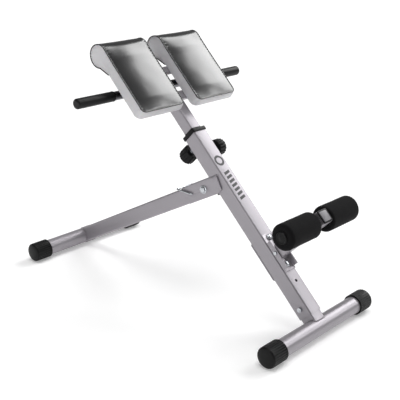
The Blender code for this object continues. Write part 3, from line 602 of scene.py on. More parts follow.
# %% The pivot bracket
low, high = span("leg_bracket", LEG)
plate = 3 * MM
cheek = high.x
web_rear = -0.040
section = channel_outline(cheek, -low.y, -high.y, plate, 4.5 * MM)
upside = [(x, -y) for x, y in section][::-1]
bracket = keep("pivot_bracket_steel", prism(upside, low.z, high.z), LEG)
bevel = 0.010
past = 5 * MM
bracket_tools = [
    block((plate - cheek, low.y - past, web_rear), (cheek - plate, high.y + past, high.z + past)),
    wedge([(high.y - bevel, low.z - past), (high.y + past, low.z - past), (high.y + past, low.z + bevel),
           (high.y, low.z + bevel), (high.y - bevel, low.z)], 0.04),
    wedge([(high.y, 0.050), (high.y + past, 0.050), (high.y + past, high.z + past),
           (0.018, high.z + past), (0.018, high.z)], 0.04),
    hole(M10_HOLE_R, "x", (0, 0, 0), 0.05), hole(2.8 * MM, "x", lock_point, 0.05)]
carve(bracket, bracket_tools, LEG)
dress(soften(bracket, 0.4 * MM), SILVER, stands_for="leg_bracket")

# %% Roller carrier, backing plate and pad channels
low, high = span("roller_carrier")
plate_top = low.y + 3 * MM
section = channel_outline(high.x, high.y - low.y, 0, 2.3 * MM, 4 * MM)
tray = [(x, high.y - y) for x, y in section][::-1]
carrier = keep("roller_carrier_steel", prism(tray, low.z, high.z))
flange_from, flange_to = 0.174, 0.262
carrier_bolt_at = {name: middle_in(f"{name}_carrier_bolt").z for name in ("lower", "upper")}
arm_bolt_middle = middle_in("arm_bolt")
arm_bolt_middle.x = 0
carve(carrier, [block((-0.05, plate_top, low.z - past), (0.05, high.y + past, flange_from)),
                block((-0.05, plate_top, flange_to), (0.05, high.y + past, high.z + past)),
                hole(M6_HOLE_R, "x", arm_bolt_middle, 0.05)]
      + [hole(M8_HOLE_R, "y", (0, plate_top, at), 0.01) for at in carrier_bolt_at.values()])
dress(soften(carrier, 0.4 * MM), SILVER, stands_for="roller_carrier")

low, high = span("backing_plate")
backing = keep("backing_plate_steel", lay(prism(rounded(high.z - low.z, high.x - low.x, 5 * MM),
                                                low.y, high.y), "y", (0, 0, (low.z + high.z) / 2)))
carve(backing, [hole(M8_HOLE_R, "y", (0, low.y, at), 0.01) for at in carrier_bolt_at.values()])
dress(soften(backing, 0.4 * MM), SILVER, stands_for="backing_plate")

for place_name in ("lower", "upper"):
    low, high = span(f"{place_name}_channel")
    half = (high.z - low.z) / 2
    section = channel_outline(half, high.y, low.y, 2.5 * MM, 3.5 * MM)
    shape = prism([(y, -x) for x, y in section], low.x, high.x)
    made = keep(f"{place_name}_channel_steel", lay(shape, "x", (0, 0, (low.z + high.z) / 2)))
    screw_x = middle_in(f"{place_name}_pad_screw_left").x
    carve(made, [hole(M6_HOLE_R, "y", (side * screw_x, high.y, (low.z + high.z) / 2), 6 * MM)
                 for side in (1, -1)])
    dress(soften(made, 0.3 * MM), SILVER, stands_for=f"{place_name}_channel")
print("plates done:", len(dressed), "pieces")

# %% [markdown]
# ## Screws and nuts
# A hexagon head is a hexagon whose corners are turned away by a 30 degree cone, which leaves
# the curved flats everyone knows. Working the hexagon's reach out at 48 angles and lowering
# the rim where the cone cuts it gives that curve without a Boolean. Threads are rings rather
# than a helix: at one turn every 1.25 mm the eye can't tell, and rings close cleanly.

# %% Hexagons and threads
def hexed(flats, tall, bore=0.0, sides=48):
    """A hexagon head or nut standing on z 0, with its top corners chamfered."""
    steps = [2 * math.pi * i / sides for i in range(sides)]
    reach = [flats / 2 / math.cos(a % (math.pi / 3) - math.pi / 6) for a in steps]
    crown = 0.95 * flats / 2
    slope = math.tan(math.radians(30))
    levels = [(reach, [0.0] * sides), (reach, [tall - (r - crown) * slope for r in reach]),
              ([crown] * sides, [tall] * sides), ([bore] * sides, [tall] * sides)]
    if bore:
        levels.append(([bore] * sides, [0.0] * sides))
    mesh = bmesh.new()
    rings = []
    for reaches, heights in levels:
        if max(reaches) == 0:
            rings.append([mesh.verts.new((0, 0, tall))])
            continue
        rings.append([mesh.verts.new((r * math.cos(a), r * math.sin(a), z))
                      for r, a, z in zip(reaches, steps, heights)])
    for ring, following in zip(rings, rings[1:]):
        bridge(mesh, ring, following)
    if bore:
        bridge(mesh, rings[-1], rings[0])
    else:
        mesh.faces.new(rings[0][::-1])
    return mesh


def threads(radius, start, end, pitch=1.25 * MM):
    """Profile points of a thread drawn as rings."""
    count = max(1, round(abs(end - start) / pitch))
    step = (end - start) / count
    points = []
    for i in range(count):
        z = start + i * step
        points += [(radius - 0.5 * pitch, z), (radius, z + 0.35 * step), (radius, z + 0.6 * step)]
    return points


def merged(*shapes):
    """Several closed shapes as one bmesh."""
    whole = bmesh.new()
    for shape in shapes:
        data = bpy.data.meshes.new("part")
        shape.to_mesh(data)
        shape.free()
        whole.from_mesh(data)
        bpy.data.meshes.remove(data)
    return whole


def axis_span(node, place, axis):
    """The middle of a node across an axis, and its two ends along that axis."""
    low, high = span(node, place)
    k = "xyz".index(axis)
    ends = (low[k], high[k])
    centre = (low + high) / 2
    centre[k] = 0
    return centre, ends


def hex_bolt(node, place, axis, flats, tall, shank, flange=0.0):
    """A hexagon bolt with its head at the positive end of the node."""
    centre, (tip, top) = axis_span(node, place, axis)
    seat = top - tall
    head = hexed(flats, tall)
    bmesh.ops.translate(head, vec=(0, 0, seat), verts=head.verts)
    shapes = [head]
    profile = [(0, tip), (shank * 0.75, tip)] + threads(shank, tip + 0.6 * MM, tip + 12 * MM)
    profile += [(shank, tip + 12 * MM), (shank, seat + 1 * MM), (0, seat + 1 * MM)]
    shapes.append(turned(profile, 32))
    if flange:
        shapes.append(turned([(shank, seat), (flange, seat), (flange, seat + 0.9 * MM),
                              (flange - 0.6 * MM, seat + 1.3 * MM), (shank, seat + 1.8 * MM)], 48))
    made = keep(f"{node}_zinc", lay(merged(*shapes), axis, centre), place)
    return dress(made, ZINC, stands_for=node)


def hex_nut(node, place, axis, flats, bore):
    """A hexagon nut over its node, with the chamfered end at the negative end."""
    centre, (low, high) = axis_span(node, place, axis)
    shape = hexed(flats, high - low, bore)
    bmesh.ops.transform(shape, matrix=Matrix.Rotation(math.pi, 4, "X"), verts=shape.verts)
    bmesh.ops.translate(shape, vec=(0, 0, high), verts=shape.verts)
    return dress(keep(f"{node}_zinc", lay(shape, axis, centre), place), ZINC, stands_for=node)


# %% Every bolt and nut
hex_bolt("stub_bolt", POST, "x", 13 * MM, 5.5 * MM, 4 * MM)
hex_nut("stub_nut", POST, "x", 13 * MM, 4.2 * MM)
hex_bolt("pivot_bolt", LEG, "x", 17 * MM, 6.5 * MM, 5 * MM, flange=12.5 * MM)
hex_nut("pivot_nut", LEG, "x", 17 * MM, 5.2 * MM)
hex_bolt("arm_bolt", POST, "x", 10 * MM, 4 * MM, 3 * MM)
hex_nut("arm_nut", POST, "x", 10 * MM, 3.2 * MM)
hex_nut("clamp_boss", POST, "x", 19 * MM, M8_HOLE_R)
for name in carrier_bolt_at:
    hex_nut(f"{name}_carrier_nut", POST, "y", 13 * MM, 4.2 * MM)
    centre, (tip, top) = axis_span(f"{name}_carrier_bolt", POST, "y")
    seat = top - 4.6 * MM
    profile = [(0, tip), (3.2 * MM, tip)] + threads(4 * MM, tip + 0.6 * MM, tip + 14 * MM)
    profile += [(4 * MM, tip + 14 * MM), (4 * MM, seat), (9 * MM, seat), (9 * MM, seat + 0.5 * MM)]
    profile += [(9 * MM * math.cos(a), seat + 0.5 * MM + 4.1 * MM * math.sin(a))
                for a in (0.2, 0.45, 0.7, 0.95, 1.2, 1.4)] + [(0, top)]
    dress(keep(f"{name}_carrier_bolt_zinc", lay(turned(profile, 48), "y", centre)), ZINC,
          stands_for=f"{name}_carrier_bolt")
for side in ("left", "right"):
    low, high = span(f"pivot_washer_{side}", LEG)
    ring = pipe(circle(high.y, 48), circle(M10_HOLE_R, 48), low.x, high.x)
    dress(keep(f"pivot_washer_{side}_zinc", lay(ring, "x"), LEG), ZINC, stands_for=f"pivot_washer_{side}")
    for name in ("lower", "upper"):
        node = f"{name}_pad_screw_{side}"
        centre, (low, high) = axis_span(node, POST, "y")
        seat = low + 4 * MM
        profile = [(0, low)] + [(6 * MM * math.sin(a), seat - 4 * MM * math.cos(a))
                                for a in (0.25, 0.5, 0.75, 1.0, 1.25, 1.5)]
        profile += [(6 * MM, seat), (3 * MM, seat)]
        profile += threads(3 * MM, seat + 1 * MM, high - 1.5 * MM, 1.6 * MM)
        screw = keep(f"{node}_zinc", lay(turned(profile + [(0, high)], 32), "y", centre))
        arm = 3.2 * MM
        cross = [block((centre.x - a, low - MM, centre.z - b), (centre.x + a, low + 2 * MM, centre.z + b))
                 for a, b in ((arm, 0.6 * MM), (0.6 * MM, arm))]
        dress(carve(screw, cross), ZINC, stands_for=node)
print("fasteners done:", len(dressed), "pieces")

# %% [markdown]
# ## Ribs by Geometry Nodes
# The feet and the knobs are moulded with a ring of ribs for grip. One rib is drawn once and
# copied round a circle, which is just what Geometry Nodes do well: the count, the radius and
# the rib's size stay named inputs. Each part is made standing upright on the origin, ribbed,
# turned into a plain mesh, and only then laid in its place.

# %% Helpers for node trees
def new_tree(name, inputs):
    """A Geometry Nodes tree with named inputs; returns the tree, its input and its output."""
    tree = bpy.data.node_groups.new(name, "GeometryNodeTree")
    tree.interface.new_socket("Geometry", in_out="INPUT", socket_type="NodeSocketGeometry")
    for label, kind in inputs.items():
        tree.interface.new_socket(label, in_out="INPUT", socket_type=f"NodeSocket{kind}")
    tree.interface.new_socket("Geometry", in_out="OUTPUT", socket_type="NodeSocketGeometry")
    return tree, add(tree, "NodeGroupInput").outputs, add(tree, "NodeGroupOutput").inputs


def grow(made, tree, **values):
    """Run a tree on an object, its inputs set by identifier, and keep the plain mesh."""
    run = made.modifiers.new(tree.name, "NODES")
    run.node_group = tree
    for item in tree.interface.items_tree:
        key = item.name.replace(" ", "_").lower()
        if item.in_out == "INPUT" and key in values:
            run[item.identifier] = values[key]
    return settle(made)


def finish_tree(tree, given, shape, result):
    """End a tree: no instances left, and every face in the given finish."""
    real = add(tree, "GeometryNodeRealizeInstances", {"Geometry": shape})
    painted = add(tree, "GeometryNodeSetMaterial", {"Geometry": real.outputs["Geometry"],
                                                    "Material": given["Finish"]})
    tree.links.new(painted.outputs["Geometry"], result["Geometry"])
    return tree


# %% The rib tree
def rib_tree():
    """Ribs standing round an upright moulding."""
    tree, given, result = new_tree("moulded_ribs", {
        "Count": "Int", "Radius": "Float", "Middle": "Float", "Rib Size": "Vector", "Finish": "Material"})
    ring = add(tree, "GeometryNodeMeshCircle", {"Vertices": given["Count"], "Radius": given["Radius"]})
    raise_by = add(tree, "ShaderNodeCombineXYZ", {"Z": given["Middle"]})
    raised = add(tree, "GeometryNodeTransform", {"Geometry": ring.outputs["Mesh"],
                                                 "Translation": raise_by.outputs["Vector"]})
    here = add(tree, "GeometryNodeInputPosition")
    flat = add(tree, "ShaderNodeVectorMath", {0: here.outputs["Position"], 1: (1, 1, 0)},
               operation="MULTIPLY")
    facing = add(tree, "FunctionNodeAlignRotationToVector", {"Vector": flat.outputs["Vector"]}, axis="X")
    rib = add(tree, "GeometryNodeMeshUVSphere", {"Segments": 8, "Rings": 9, "Radius": 0.5})
    # A sphere squared off along its height makes a bar with soft ends.
    where = add(tree, "GeometryNodeInputPosition").outputs["Position"]
    parts = add(tree, "ShaderNodeSeparateXYZ", {"Vector": where})
    steep = add(tree, "ShaderNodeMath", {0: parts.outputs["Z"], 1: 2.6}, operation="MULTIPLY")
    squared = add(tree, "ShaderNodeClamp", {"Value": steep.outputs["Value"], "Min": -0.5, "Max": 0.5})
    moved = add(tree, "ShaderNodeCombineXYZ", {"X": parts.outputs["X"], "Y": parts.outputs["Y"],
                                               "Z": squared.outputs["Result"]})
    bar = add(tree, "GeometryNodeSetPosition", {"Geometry": rib.outputs["Mesh"],
                                                "Position": moved.outputs["Vector"]})
    ribs = add(tree, "GeometryNodeInstanceOnPoints", {
        "Points": raised.outputs["Geometry"], "Instance": bar.outputs["Geometry"],
        "Rotation": facing.outputs["Rotation"], "Scale": given["Rib Size"]})
    whole = add(tree, "GeometryNodeJoinGeometry")
    tree.links.new(given["Geometry"], whole.inputs["Geometry"])
    tree.links.new(ribs.outputs["Instances"], whole.inputs["Geometry"])
    return finish_tree(tree, given, whole.outputs["Geometry"], result)


RIBS = rib_tree()


def ribbed(name, profile, place, count, radius, middle_at, size, node, finish=PLASTIC):
    """A turned moulding with ribs, laid in its place."""
    made = keep(name, turned(profile, 96), Matrix.Identity(4))
    made.data.materials.append(finish)
    grow(made, RIBS, count=count, radius=radius, middle=middle_at, rib_size=size, finish=finish)
    shade(made.data, 45)
    made.data.transform(place)
    return dress(made, finish, stands_for=node)


# %% Feet
def foot(node, tube):
    """A ribbed plastic foot over the end of a cross tube."""
    start, end = run_of(node)
    radius = radius_of(node)
    tube_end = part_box(tube)[1][0]
    body = radius - 0.9 * MM
    bore = cross_r + FIT
    profile = [(bore, start), (body - 0.5 * MM, start), (radius, start + 0.6 * MM),
               (radius, start + 3 * MM), (body, start + 4 * MM), (body, end - 9 * MM)]
    profile += arc((body - 5 * MM, end - 7.2 * MM), 5 * MM, 0, 78, 8)
    profile += [(body - 9 * MM, end - 1.0 * MM), (body - 16 * MM, end - 0.3 * MM), (0, end)]
    profile += [(0, tube_end + FIT), (bore, tube_end + FIT)]
    turn = 0 if middle(node).x > 0 else math.pi
    place = Matrix.Translation((0, *middle(tube).yz)) @ Matrix.Rotation(turn, 4, "Z") @ AXES["x"]
    length = end - start - 9 * MM
    return ribbed(f"{node}_moulding", profile, place, 30, body, start + 3 * MM + length / 2,
                  (1.8 * MM, 3.4 * MM, length), node)


for tube in ("rear", "front"):
    for side in ("left", "right"):
        foot(f"{tube}_cap_{side}", f"{tube}_cross_tube")


# %% Knobs
def knob(node, place, bore):
    """A domed knob with a ring of ribs, standing along its frame's Z."""
    low, high = span(node, place)
    radius = high.x
    body = radius - 1.4 * MM
    edge = 9 * MM
    profile = [(bore, low.z), (body - 1.5 * MM, low.z), (body, low.z + 1.5 * MM)]
    profile += arc((body - edge, high.z - edge), edge, 0, 84, 12) + [(0, high.z)]
    profile += [(0, high.z - 11.5 * MM), (bore, high.z - 11.5 * MM)]
    length = (high.z - low.z) - edge + 3 * MM
    return ribbed(f"{node}_moulding", profile, place, 16, body - 0.6 * MM, low.z + 0.4 * MM + length / 2,
                  (4.2 * MM, 5.6 * MM, length), node)


def sideways(node):
    """A frame on the post whose Z points out of its right side, at a node's height."""
    return POST @ Matrix.Translation((0, 0, middle_in(node).z)) @ Matrix.Rotation(-math.pi / 2, 4, "Y")


knob("pull_knob", PIN, 10.2 * MM)
knob("clamp_knob", sideways("clamp_knob"), M8_HOLE_R)
print("ribbed mouldings done:", len(dressed), "pieces")

# %% [markdown]
# ## Plugs, collar, grips and small steel parts
# The remaining hard pieces are single mouldings or turnings. The collar is a bush pushed into
# the post's mouth, the plugs close tube ends, and the grips are dipped over the handlebar, so
# their closed ends are round and their open ends have a thin rolled lip.

# %% The collar
slider_wide = slider_high.x - slider_low.x
collar_low, collar_high = span("post_collar")
lip = span("main_post")[1].z + 0.3 * MM
ring = prism(rounded(2 * collar_high.x, 2 * collar_high.x, 4 * MM), lip, collar_high.z)
sleeve = 2 * (post_half - 2.5 * MM) - 0.6 * MM
insert = prism(rounded(sleeve, sleeve, 2 * MM), collar_low.z, lip)
collar = soften(keep("post_collar_moulding", merged(ring, insert)), 1.2 * MM)
bush_bore = slider_wide + 0.6 * MM
carve(collar, [prism(rounded(bush_bore, bush_bore, 3 * MM), collar_low.z - past, collar_high.z + past)])
dress(collar, PLASTIC, stands_for="post_collar")


# %% Plugs that close a tube
def plug(node, place, axis, inner, lid, corner, towards=1):
    """A plug: a domed lid over a tube's end and the part that is pushed inside."""
    low, high = span(node, place)
    k = "xyz".index(axis)
    size = high - low
    wide, deep = (size[i] for i in {"z": (0, 1), "y": (2, 0)}[axis])
    centre = (low + high) / 2
    centre[k] = 0
    start = high[k] - lid if towards > 0 else low[k] + lid
    cap = lay(prism(rounded(wide, deep, corner), *sorted((start, high[k] if towards > 0 else low[k]))),
              axis, centre)
    core = lay(prism(rounded(wide - inner, deep - inner, 2.5 * MM),
                     *sorted((start, low[k] if towards > 0 else high[k]))), axis, centre)
    made = soften(keep(f"{node}_moulding", merged(cap, core), place), 0.9 * MM)
    return dress(made, PLASTIC, stands_for=node)


plug("leg_plug", LEG, "z", 4.6 * MM, 2.7 * MM, 5 * MM)
plug("tube_top_plug", POST, "z", 4.6 * MM, 3.7 * MM, 4 * MM)
plug("arm_plug", POST, "y", 4.6 * MM, 3.2 * MM, 4 * MM)
guide_low, guide_high = span("tube_guide")
guide_lid = slider_low.z - 0.3 * MM - guide_low.z
plug("tube_guide", POST, "z", 2 * guide_high.x - slider_wide + 4.6 * MM, guide_lid, 2 * MM, towards=-1)
low, high = span("fold_bumper")
size = high - low
strip = lay(prism(rounded(size.x, size.y, 2.5 * MM), low.z, high.z), "z", (0, (low.y + high.y) / 2, 0))
dress(soften(keep("fold_bumper_moulding", strip), 1.2 * MM), RUBBER, stands_for="fold_bumper")

# The arm's plug end faces the back light, and a grey patch on it is painted sheen: the plug's moulding again, but
# lighter and finer grained.
arm_low, arm_high = span("arm_plug")
arm_middle = (arm_low.z + arm_high.z) / 2
sheen_patch_wide = (arm_high.x - arm_low.x) - 9 * MM
sheen_patch = prism(rounded(sheen_patch_wide, sheen_patch_wide, 2.5 * MM), arm_high.y - MM, arm_high.y + 0.25 * MM)
# Painted sheen: a lighter grey copy of the black moulding, laid on the plug's lit end.
PAINTED_SHEEN_GREY = grained("satin_grey_inlay", "6d6b70", "77757a", 0.7 * MM, 0.02 * MM, (0.32, 0.42))[0]
dress(soften(keep("arm_plug_inlay", lay(sheen_patch, "y", (0, 0, arm_middle))), 0.3 * MM), PAINTED_SHEEN_GREY, body="frame")

# %% Grips and hubs
def along_x(node, profile, finish, side, place=POST, sides=96, smooth=35):
    """A turned piece along X over a node; the profile's heights count outwards."""
    centre, ends = axis_span(node, place, "x")
    shape = turned(profile, sides)
    if side < 0:
        bmesh.ops.transform(shape, matrix=Matrix.Rotation(math.pi, 4, "X"), verts=shape.verts)
    made = keep(f"{node}_{finish.name}", lay(shape, "x", centre), place, smooth)
    return dress(made, finish, stands_for=node)


grip_r = radius_of("grip_left")
bar_r = radius_of("handlebar")
axle_r = radius_of("roller_axle")
bar_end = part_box("handlebar")[1][0]
for side_name, side in (("left", 1), ("right", -1)):
    start, end = run_of(f"grip_{side_name}")
    bore = bar_r + FIT
    round_end = 6 * MM
    profile = [(bore, start), (grip_r - 0.9 * MM, start), (grip_r - 0.2 * MM, start + 0.5 * MM),
               (grip_r, start + 1.6 * MM), (grip_r, start + 3 * MM), (grip_r - 0.5 * MM, start + 4 * MM),
               (grip_r - 0.3 * MM, start + 12 * MM), (grip_r - 0.1 * MM, (start + end) / 2)]
    profile += arc((grip_r - round_end, end - round_end), round_end, 0, 90, 12)
    profile += [(0, end), (0, bar_end + FIT), (bore, bar_end + FIT)]
    along_x(f"grip_{side_name}", profile, RUBBER, side)

    hub = f"roller_hub_{side_name}"
    start, foam_end = run_of(f"foam_roller_{side_name}")
    end = run_of(hub)[1]
    disc_r = radius_of(hub)
    hub_r = 12.2 * MM
    disc = foam_end + 0.5 * MM
    profile = [(axle_r + FIT, start), (hub_r, start), (hub_r, disc), (disc_r - 0.4 * MM, disc),
               (disc_r, disc + 0.4 * MM), (disc_r, disc + 1.0 * MM), (disc_r - 1.2 * MM, end),
               (disc_r - 3.2 * MM, end), (disc_r - 4 * MM, end - 0.8 * MM), (6 * MM, end - 0.8 * MM),
               (5 * MM, end - 0.2 * MM), (0, end), (0, disc), (axle_r + FIT, disc)]
    along_x(hub, profile, PLASTIC, side, sides=64)

# %% Pin barrel, pull pin and clamp stud
def turned_steel(node, profile, place):
    """A zinc plated turning that stands along its frame's Z."""
    return dress(keep(f"{node}_zinc", turned(profile, 48), place), ZINC, stands_for=node)


centre, (barrel_low, barrel_high) = axis_span("pin_barrel", PIN, "z")
barrel_r = span("pin_barrel", PIN)[1].x
profile = [(6.5 * MM, barrel_low), (barrel_r, barrel_low), (barrel_r, barrel_low + 6 * MM)]
profile += threads(barrel_r, barrel_low + 7 * MM, barrel_high - 1.5 * MM, 1.5 * MM)
profile += [(barrel_r - 1 * MM, barrel_high), (4.4 * MM, barrel_high), (4.4 * MM, barrel_high - 3 * MM),
            (6.5 * MM, barrel_high - 3 * MM)]
turned_steel("pin_barrel", profile, PIN)

low, high = span("pull_pin", PIN)
shoulder = 0.0260
profile = [(0, low.z), (2.6 * MM, low.z), (3.6 * MM, low.z + 0.5 * MM), (4 * MM, low.z + 1.5 * MM),
           (4 * MM, shoulder), (6 * MM, shoulder), (6 * MM, shoulder + 2 * MM), (4 * MM, shoulder + 2 * MM),
           (4 * MM, high.z), (0, high.z)]
turned_steel("pull_pin", profile, PIN)

stud_frame = sideways("clamp_stud")
low, high = span("clamp_stud", stud_frame)
profile = [(0, low.z), (3 * MM, low.z)] + threads(4 * MM, low.z + 0.5 * MM, high.z - 14 * MM)
profile += [(4 * MM, high.z - 13 * MM), (4 * MM, high.z), (0, high.z)]
turned_steel("clamp_stud", profile, stud_frame)
print("turned parts done:", len(dressed), "pieces")

# %% [markdown]
# ## Wires
# The lock is a bent spring wire whose two ends spring into the bracket, and the pull pin has
# a coil spring in its barrel. Both are a path with a round section swept along it. A small
# tree makes the sweep, and it is used again later for the piping on the pads.

# %% The sweep tree
def sweep_tree():
    """A round section along the edges of a path."""
    tree, given, result = new_tree("round_sweep", {"Radius": "Float", "Sides": "Int", "Finish": "Material"})
    path = add(tree, "GeometryNodeMeshToCurve", {"Mesh": given["Geometry"]})
    section = add(tree, "GeometryNodeCurvePrimitiveCircle", {"Resolution": given["Sides"],
                                                             "Radius": given["Radius"]})
    swept = add(tree, "GeometryNodeCurveToMesh", {"Curve": path.outputs["Curve"],
                                                  "Profile Curve": section.outputs["Curve"],
                                                  "Fill Caps": True})
    return finish_tree(tree, given, swept.outputs["Mesh"], result)


SWEEP = sweep_tree()


def edge_path(name, runs, place=POST):
    """An object of bare edges: one run of points each, closed if its first point ends it."""
    lines = bmesh.new()
    for run in runs:
        closed = (Vector(run[0]) - Vector(run[-1])).length < 1e-7
        verts = [lines.verts.new(point) for point in (run[:-1] if closed else run)]
        for a, b in zip(verts, verts[1:]):
            lines.edges.new((a, b))
        if closed:
            lines.edges.new((verts[-1], verts[0]))
    lines.transform(place)
    data = bpy.data.meshes.new(name)
    lines.to_mesh(data)
    lines.free()
    return link(name, data)


def sweep(name, runs, radius, finish, place=POST, sides=16):
    """A swept wire or cord as a plain mesh."""
    made = grow(edge_path(name, runs, place), SWEEP, radius=radius, sides=sides, finish=finish)
    shade(made.data, 50)
    return made


# %% Lock wire and spring
wire_high = span("lock_wire", LEG)[1]
corners = np.array([v.co[:] for v in frame["nodes"]["lock_wire"].data.vertices])
lock_world = LEG @ Vector((0, *lock_point.yz))
away = corners - np.array(lock_world)
away[:, 0] = 0
farthest = Vector(away[np.argmax((away ** 2).sum(1))])
wire_frame = slanted(lock_world, farthest)
wire_r = 2.5 * MM
reach = farthest.length - wire_r
half_wide = wire_high.x - wire_r
bend = 4 * MM
inner_end = post_half - 0.8 * MM
half_run = [(inner_end, 0)] + arc((half_wide - bend, bend), bend, -90, 0, 10)
half_run += arc((half_wide - bend, reach - bend), bend, 0, 90, 10)
run = [(x, 0, z) for x, z in half_run] + [(-x, 0, z) for x, z in reversed(half_run)]
dress(sweep("lock_wire_zinc", [run], wire_r, ZINC, wire_frame), ZINC, stands_for="lock_wire")

low, high = span("pin_spring", PIN)
coil_r = high.x - 0.6 * MM
turns = 4.5
first, last = low.z + 0.6 * MM, high.z - 0.6 * MM
coil = [(coil_r * math.cos(a), coil_r * math.sin(a), first + (last - first) * a / (2 * math.pi * turns))
        for a in np.linspace(0, 2 * math.pi * turns, 120)]
dress(sweep("pin_spring_wire", [coil], 0.6 * MM, SPRING, PIN, 8), SPRING, stands_for="pin_spring")
print("wires done:", len(dressed), "pieces")

# %% [markdown]
# ## Weld beads
# A MIG weld is a row of overlapping puddles, each frozen a moment after the last, so a bead
# looks like a stack of tipped coins. The tree below walks along each joint in even steps and
# drops a squashed ball at every step, a little larger or smaller by chance with a fixed seed.
# The joints' lines are worked out where two tubes meet, one object for each moving body.

# %% The weld tree
def weld_tree():
    """Overlapping puddles along the edges of a path."""
    tree, given, result = new_tree("weld_beads", {"Step": "Float", "Puddle": "Vector", "Seed": "Int",
                                                  "Finish": "Material"})
    path = add(tree, "GeometryNodeMeshToCurve", {"Mesh": given["Geometry"]})
    points = add(tree, "GeometryNodeCurveToPoints", {"Curve": path.outputs["Curve"],
                                                     "Length": given["Step"]}, mode="LENGTH")
    chance = add(tree, "FunctionNodeRandomValue", {"Min": 0.85, "Max": 1.12, "Seed": given["Seed"]},
                 data_type="FLOAT")
    size = add(tree, "ShaderNodeVectorMath", {0: given["Puddle"], "Scale": chance.outputs[1]},
               operation="SCALE")
    ball = add(tree, "GeometryNodeMeshIcoSphere", {"Radius": 1.0, "Subdivisions": 2})
    row = add(tree, "GeometryNodeInstanceOnPoints", {
        "Points": points.outputs["Points"], "Instance": ball.outputs["Mesh"],
        "Rotation": points.outputs["Rotation"], "Scale": size.outputs["Vector"]})
    real = add(tree, "GeometryNodeRealizeInstances", {"Geometry": row.outputs["Instances"]})
    smooth = add(tree, "GeometryNodeSetShadeSmooth", {"Geometry": real.outputs["Geometry"]})
    return finish_tree(tree, given, smooth.outputs["Geometry"], result)


WELDS = weld_tree()


def saddle(wide, deep, place_at, tube_r, towards):
    """The line where a rectangular tube meets a round one that lies along X below it."""
    ring = rounded(wide, deep, 5 * MM, 8)
    points = [(x, y, place_at + towards * math.sqrt(max(tube_r ** 2 - y ** 2, 0))) for x, y in ring]
    return points + points[:1]


def loop_x(radius, x, centre, sides=40):
    """A round joint line about X."""
    ring = [(x, centre[1] + radius * math.cos(a), centre[2] + radius * math.sin(a))
            for a in np.linspace(0, 2 * math.pi, sides + 1)[:-1]]
    return ring + ring[:1]


def weld(name, runs, body, place=POST):
    """A body's weld beads along its joint lines, painted with the tube."""
    made = edge_path(name, runs, place)
    grow(made, WELDS, step=1.5 * MM, puddle=(1.9 * MM, 1.9 * MM, 1.3 * MM), seed=7, finish=SILVER)
    return dress(made, SILVER, body=body)


stub_wide = span("rear_stub")[1].x * 2
leg_box = span("front_leg", LEG)
leg_wide, leg_deep = 2 * leg_box[1].x, leg_box[1].y - leg_box[0].y
bracket_low, bracket_high = span("leg_bracket", LEG)
into_post = POST.inverted() @ LEG
bracket_welds = []
for side in (1, -1):
    rear = [into_post @ Vector((0, y, bracket_high.z - MM)) for y in (bracket_low.y + 5 * MM, 0.014)]
    top = [into_post @ Vector((0, bracket_low.y + 6 * MM, z)) for z in (bracket_high.z - 4 * MM, 0.045)]
    for a, b in (rear, top):
        line = [a.lerp(b, t) for t in np.linspace(0, 1, 12)]
        bracket_welds.append([(side * (cheek + 0.3 * MM), p.y, p.z)
                              for p in line if abs(p.y) < post_half - 2 * MM])
arm_ring = rounded(span("roller_arm")[1].x * 2 + MM, span("roller_arm")[1].x * 2 + MM, 4 * MM, 4)
arm_line = [(x, plate_top + 0.5 * MM, arm_middle + z) for x, z in arm_ring]
barrel_line = [(barrel_r * math.cos(a), -post_half - 0.3 * MM, pin_height + barrel_r * math.sin(a))
               for a in np.linspace(0, 2 * math.pi, 33)[:-1]]
boss_at = middle_in("clamp_boss").z
boss_line = [(-post_half - 0.3 * MM, 9.8 * MM * math.cos(a), boss_at + 9.8 * MM * math.sin(a))
             for a in np.linspace(0, 2 * math.pi, 33)[:-1]]
frame_runs = [saddle(stub_wide + MM, stub_wide + MM, 0, cross_r + FIT, 1), arm_line + arm_line[:1],
              barrel_line + barrel_line[:1], boss_line + boss_line[:1]]
frame_runs += [run for run in bracket_welds if len(run) > 3]
weld("frame_weld_beads", frame_runs, "frame")
leg_joint = saddle(leg_wide + MM, leg_deep + MM, leg_foot.z, cross_r + FIT, 1)
weld("leg_weld_beads", [leg_joint], "leg", LEG)
slider_half = slider_wide / 2
handle_joint = [loop_x(bar_r + 0.5 * MM, side * (slider_half + 0.4 * MM), handle_middle)
                for side in (1, -1)]
channel_joint = []
for name in ("lower", "upper"):
    low, high = span(f"{name}_channel")
    for z in (low.z, high.z):
        channel_joint.append([(x, slider_half + 0.5 * MM, z) for x in np.linspace(-0.014, 0.014, 8)])
weld("slider_weld_beads", handle_joint + channel_joint, "slider")
print("welds done:", len(dressed), "pieces")

# %% [markdown]
# ## Foam ankle rollers
# A foam roller is a thick closed-cell tube with rounded ends, pushed over a plastic sleeve.
# It is turned from a profile. Real foam is never perfectly true, so its surface is moved by
# a fraction of a millimetre of slow noise, which breaks up the long straight highlight.

# %% Rollers
for side_name, side in (("left", 1), ("right", -1)):
    node = f"foam_roller_{side_name}"
    start, end = run_of(node)
    radius = radius_of(node)
    edge = 10 * MM
    bore = 12.5 * MM
    profile = [(bore, start), (bore + 4 * MM, start)]
    profile += arc((radius - edge, start + edge), edge, -90, 0, 10)
    profile += [(radius, start + edge + (end - start - 2 * edge) * t) for t in np.linspace(0, 1, 14)[1:-1]]
    profile += arc((radius - edge, end - edge), edge, 0, 90, 10) + [(bore + 4 * MM, end), (bore, end)]
    roller = along_x(node, profile, FOAM, side, smooth=60)
    for vert in roller.data.vertices:
        drift = noise.noise(vert.co / (18 * MM)) * 0.35 * MM
        vert.co += vert.normal * drift
print("rollers:", len(roller.data.polygons), "faces each")

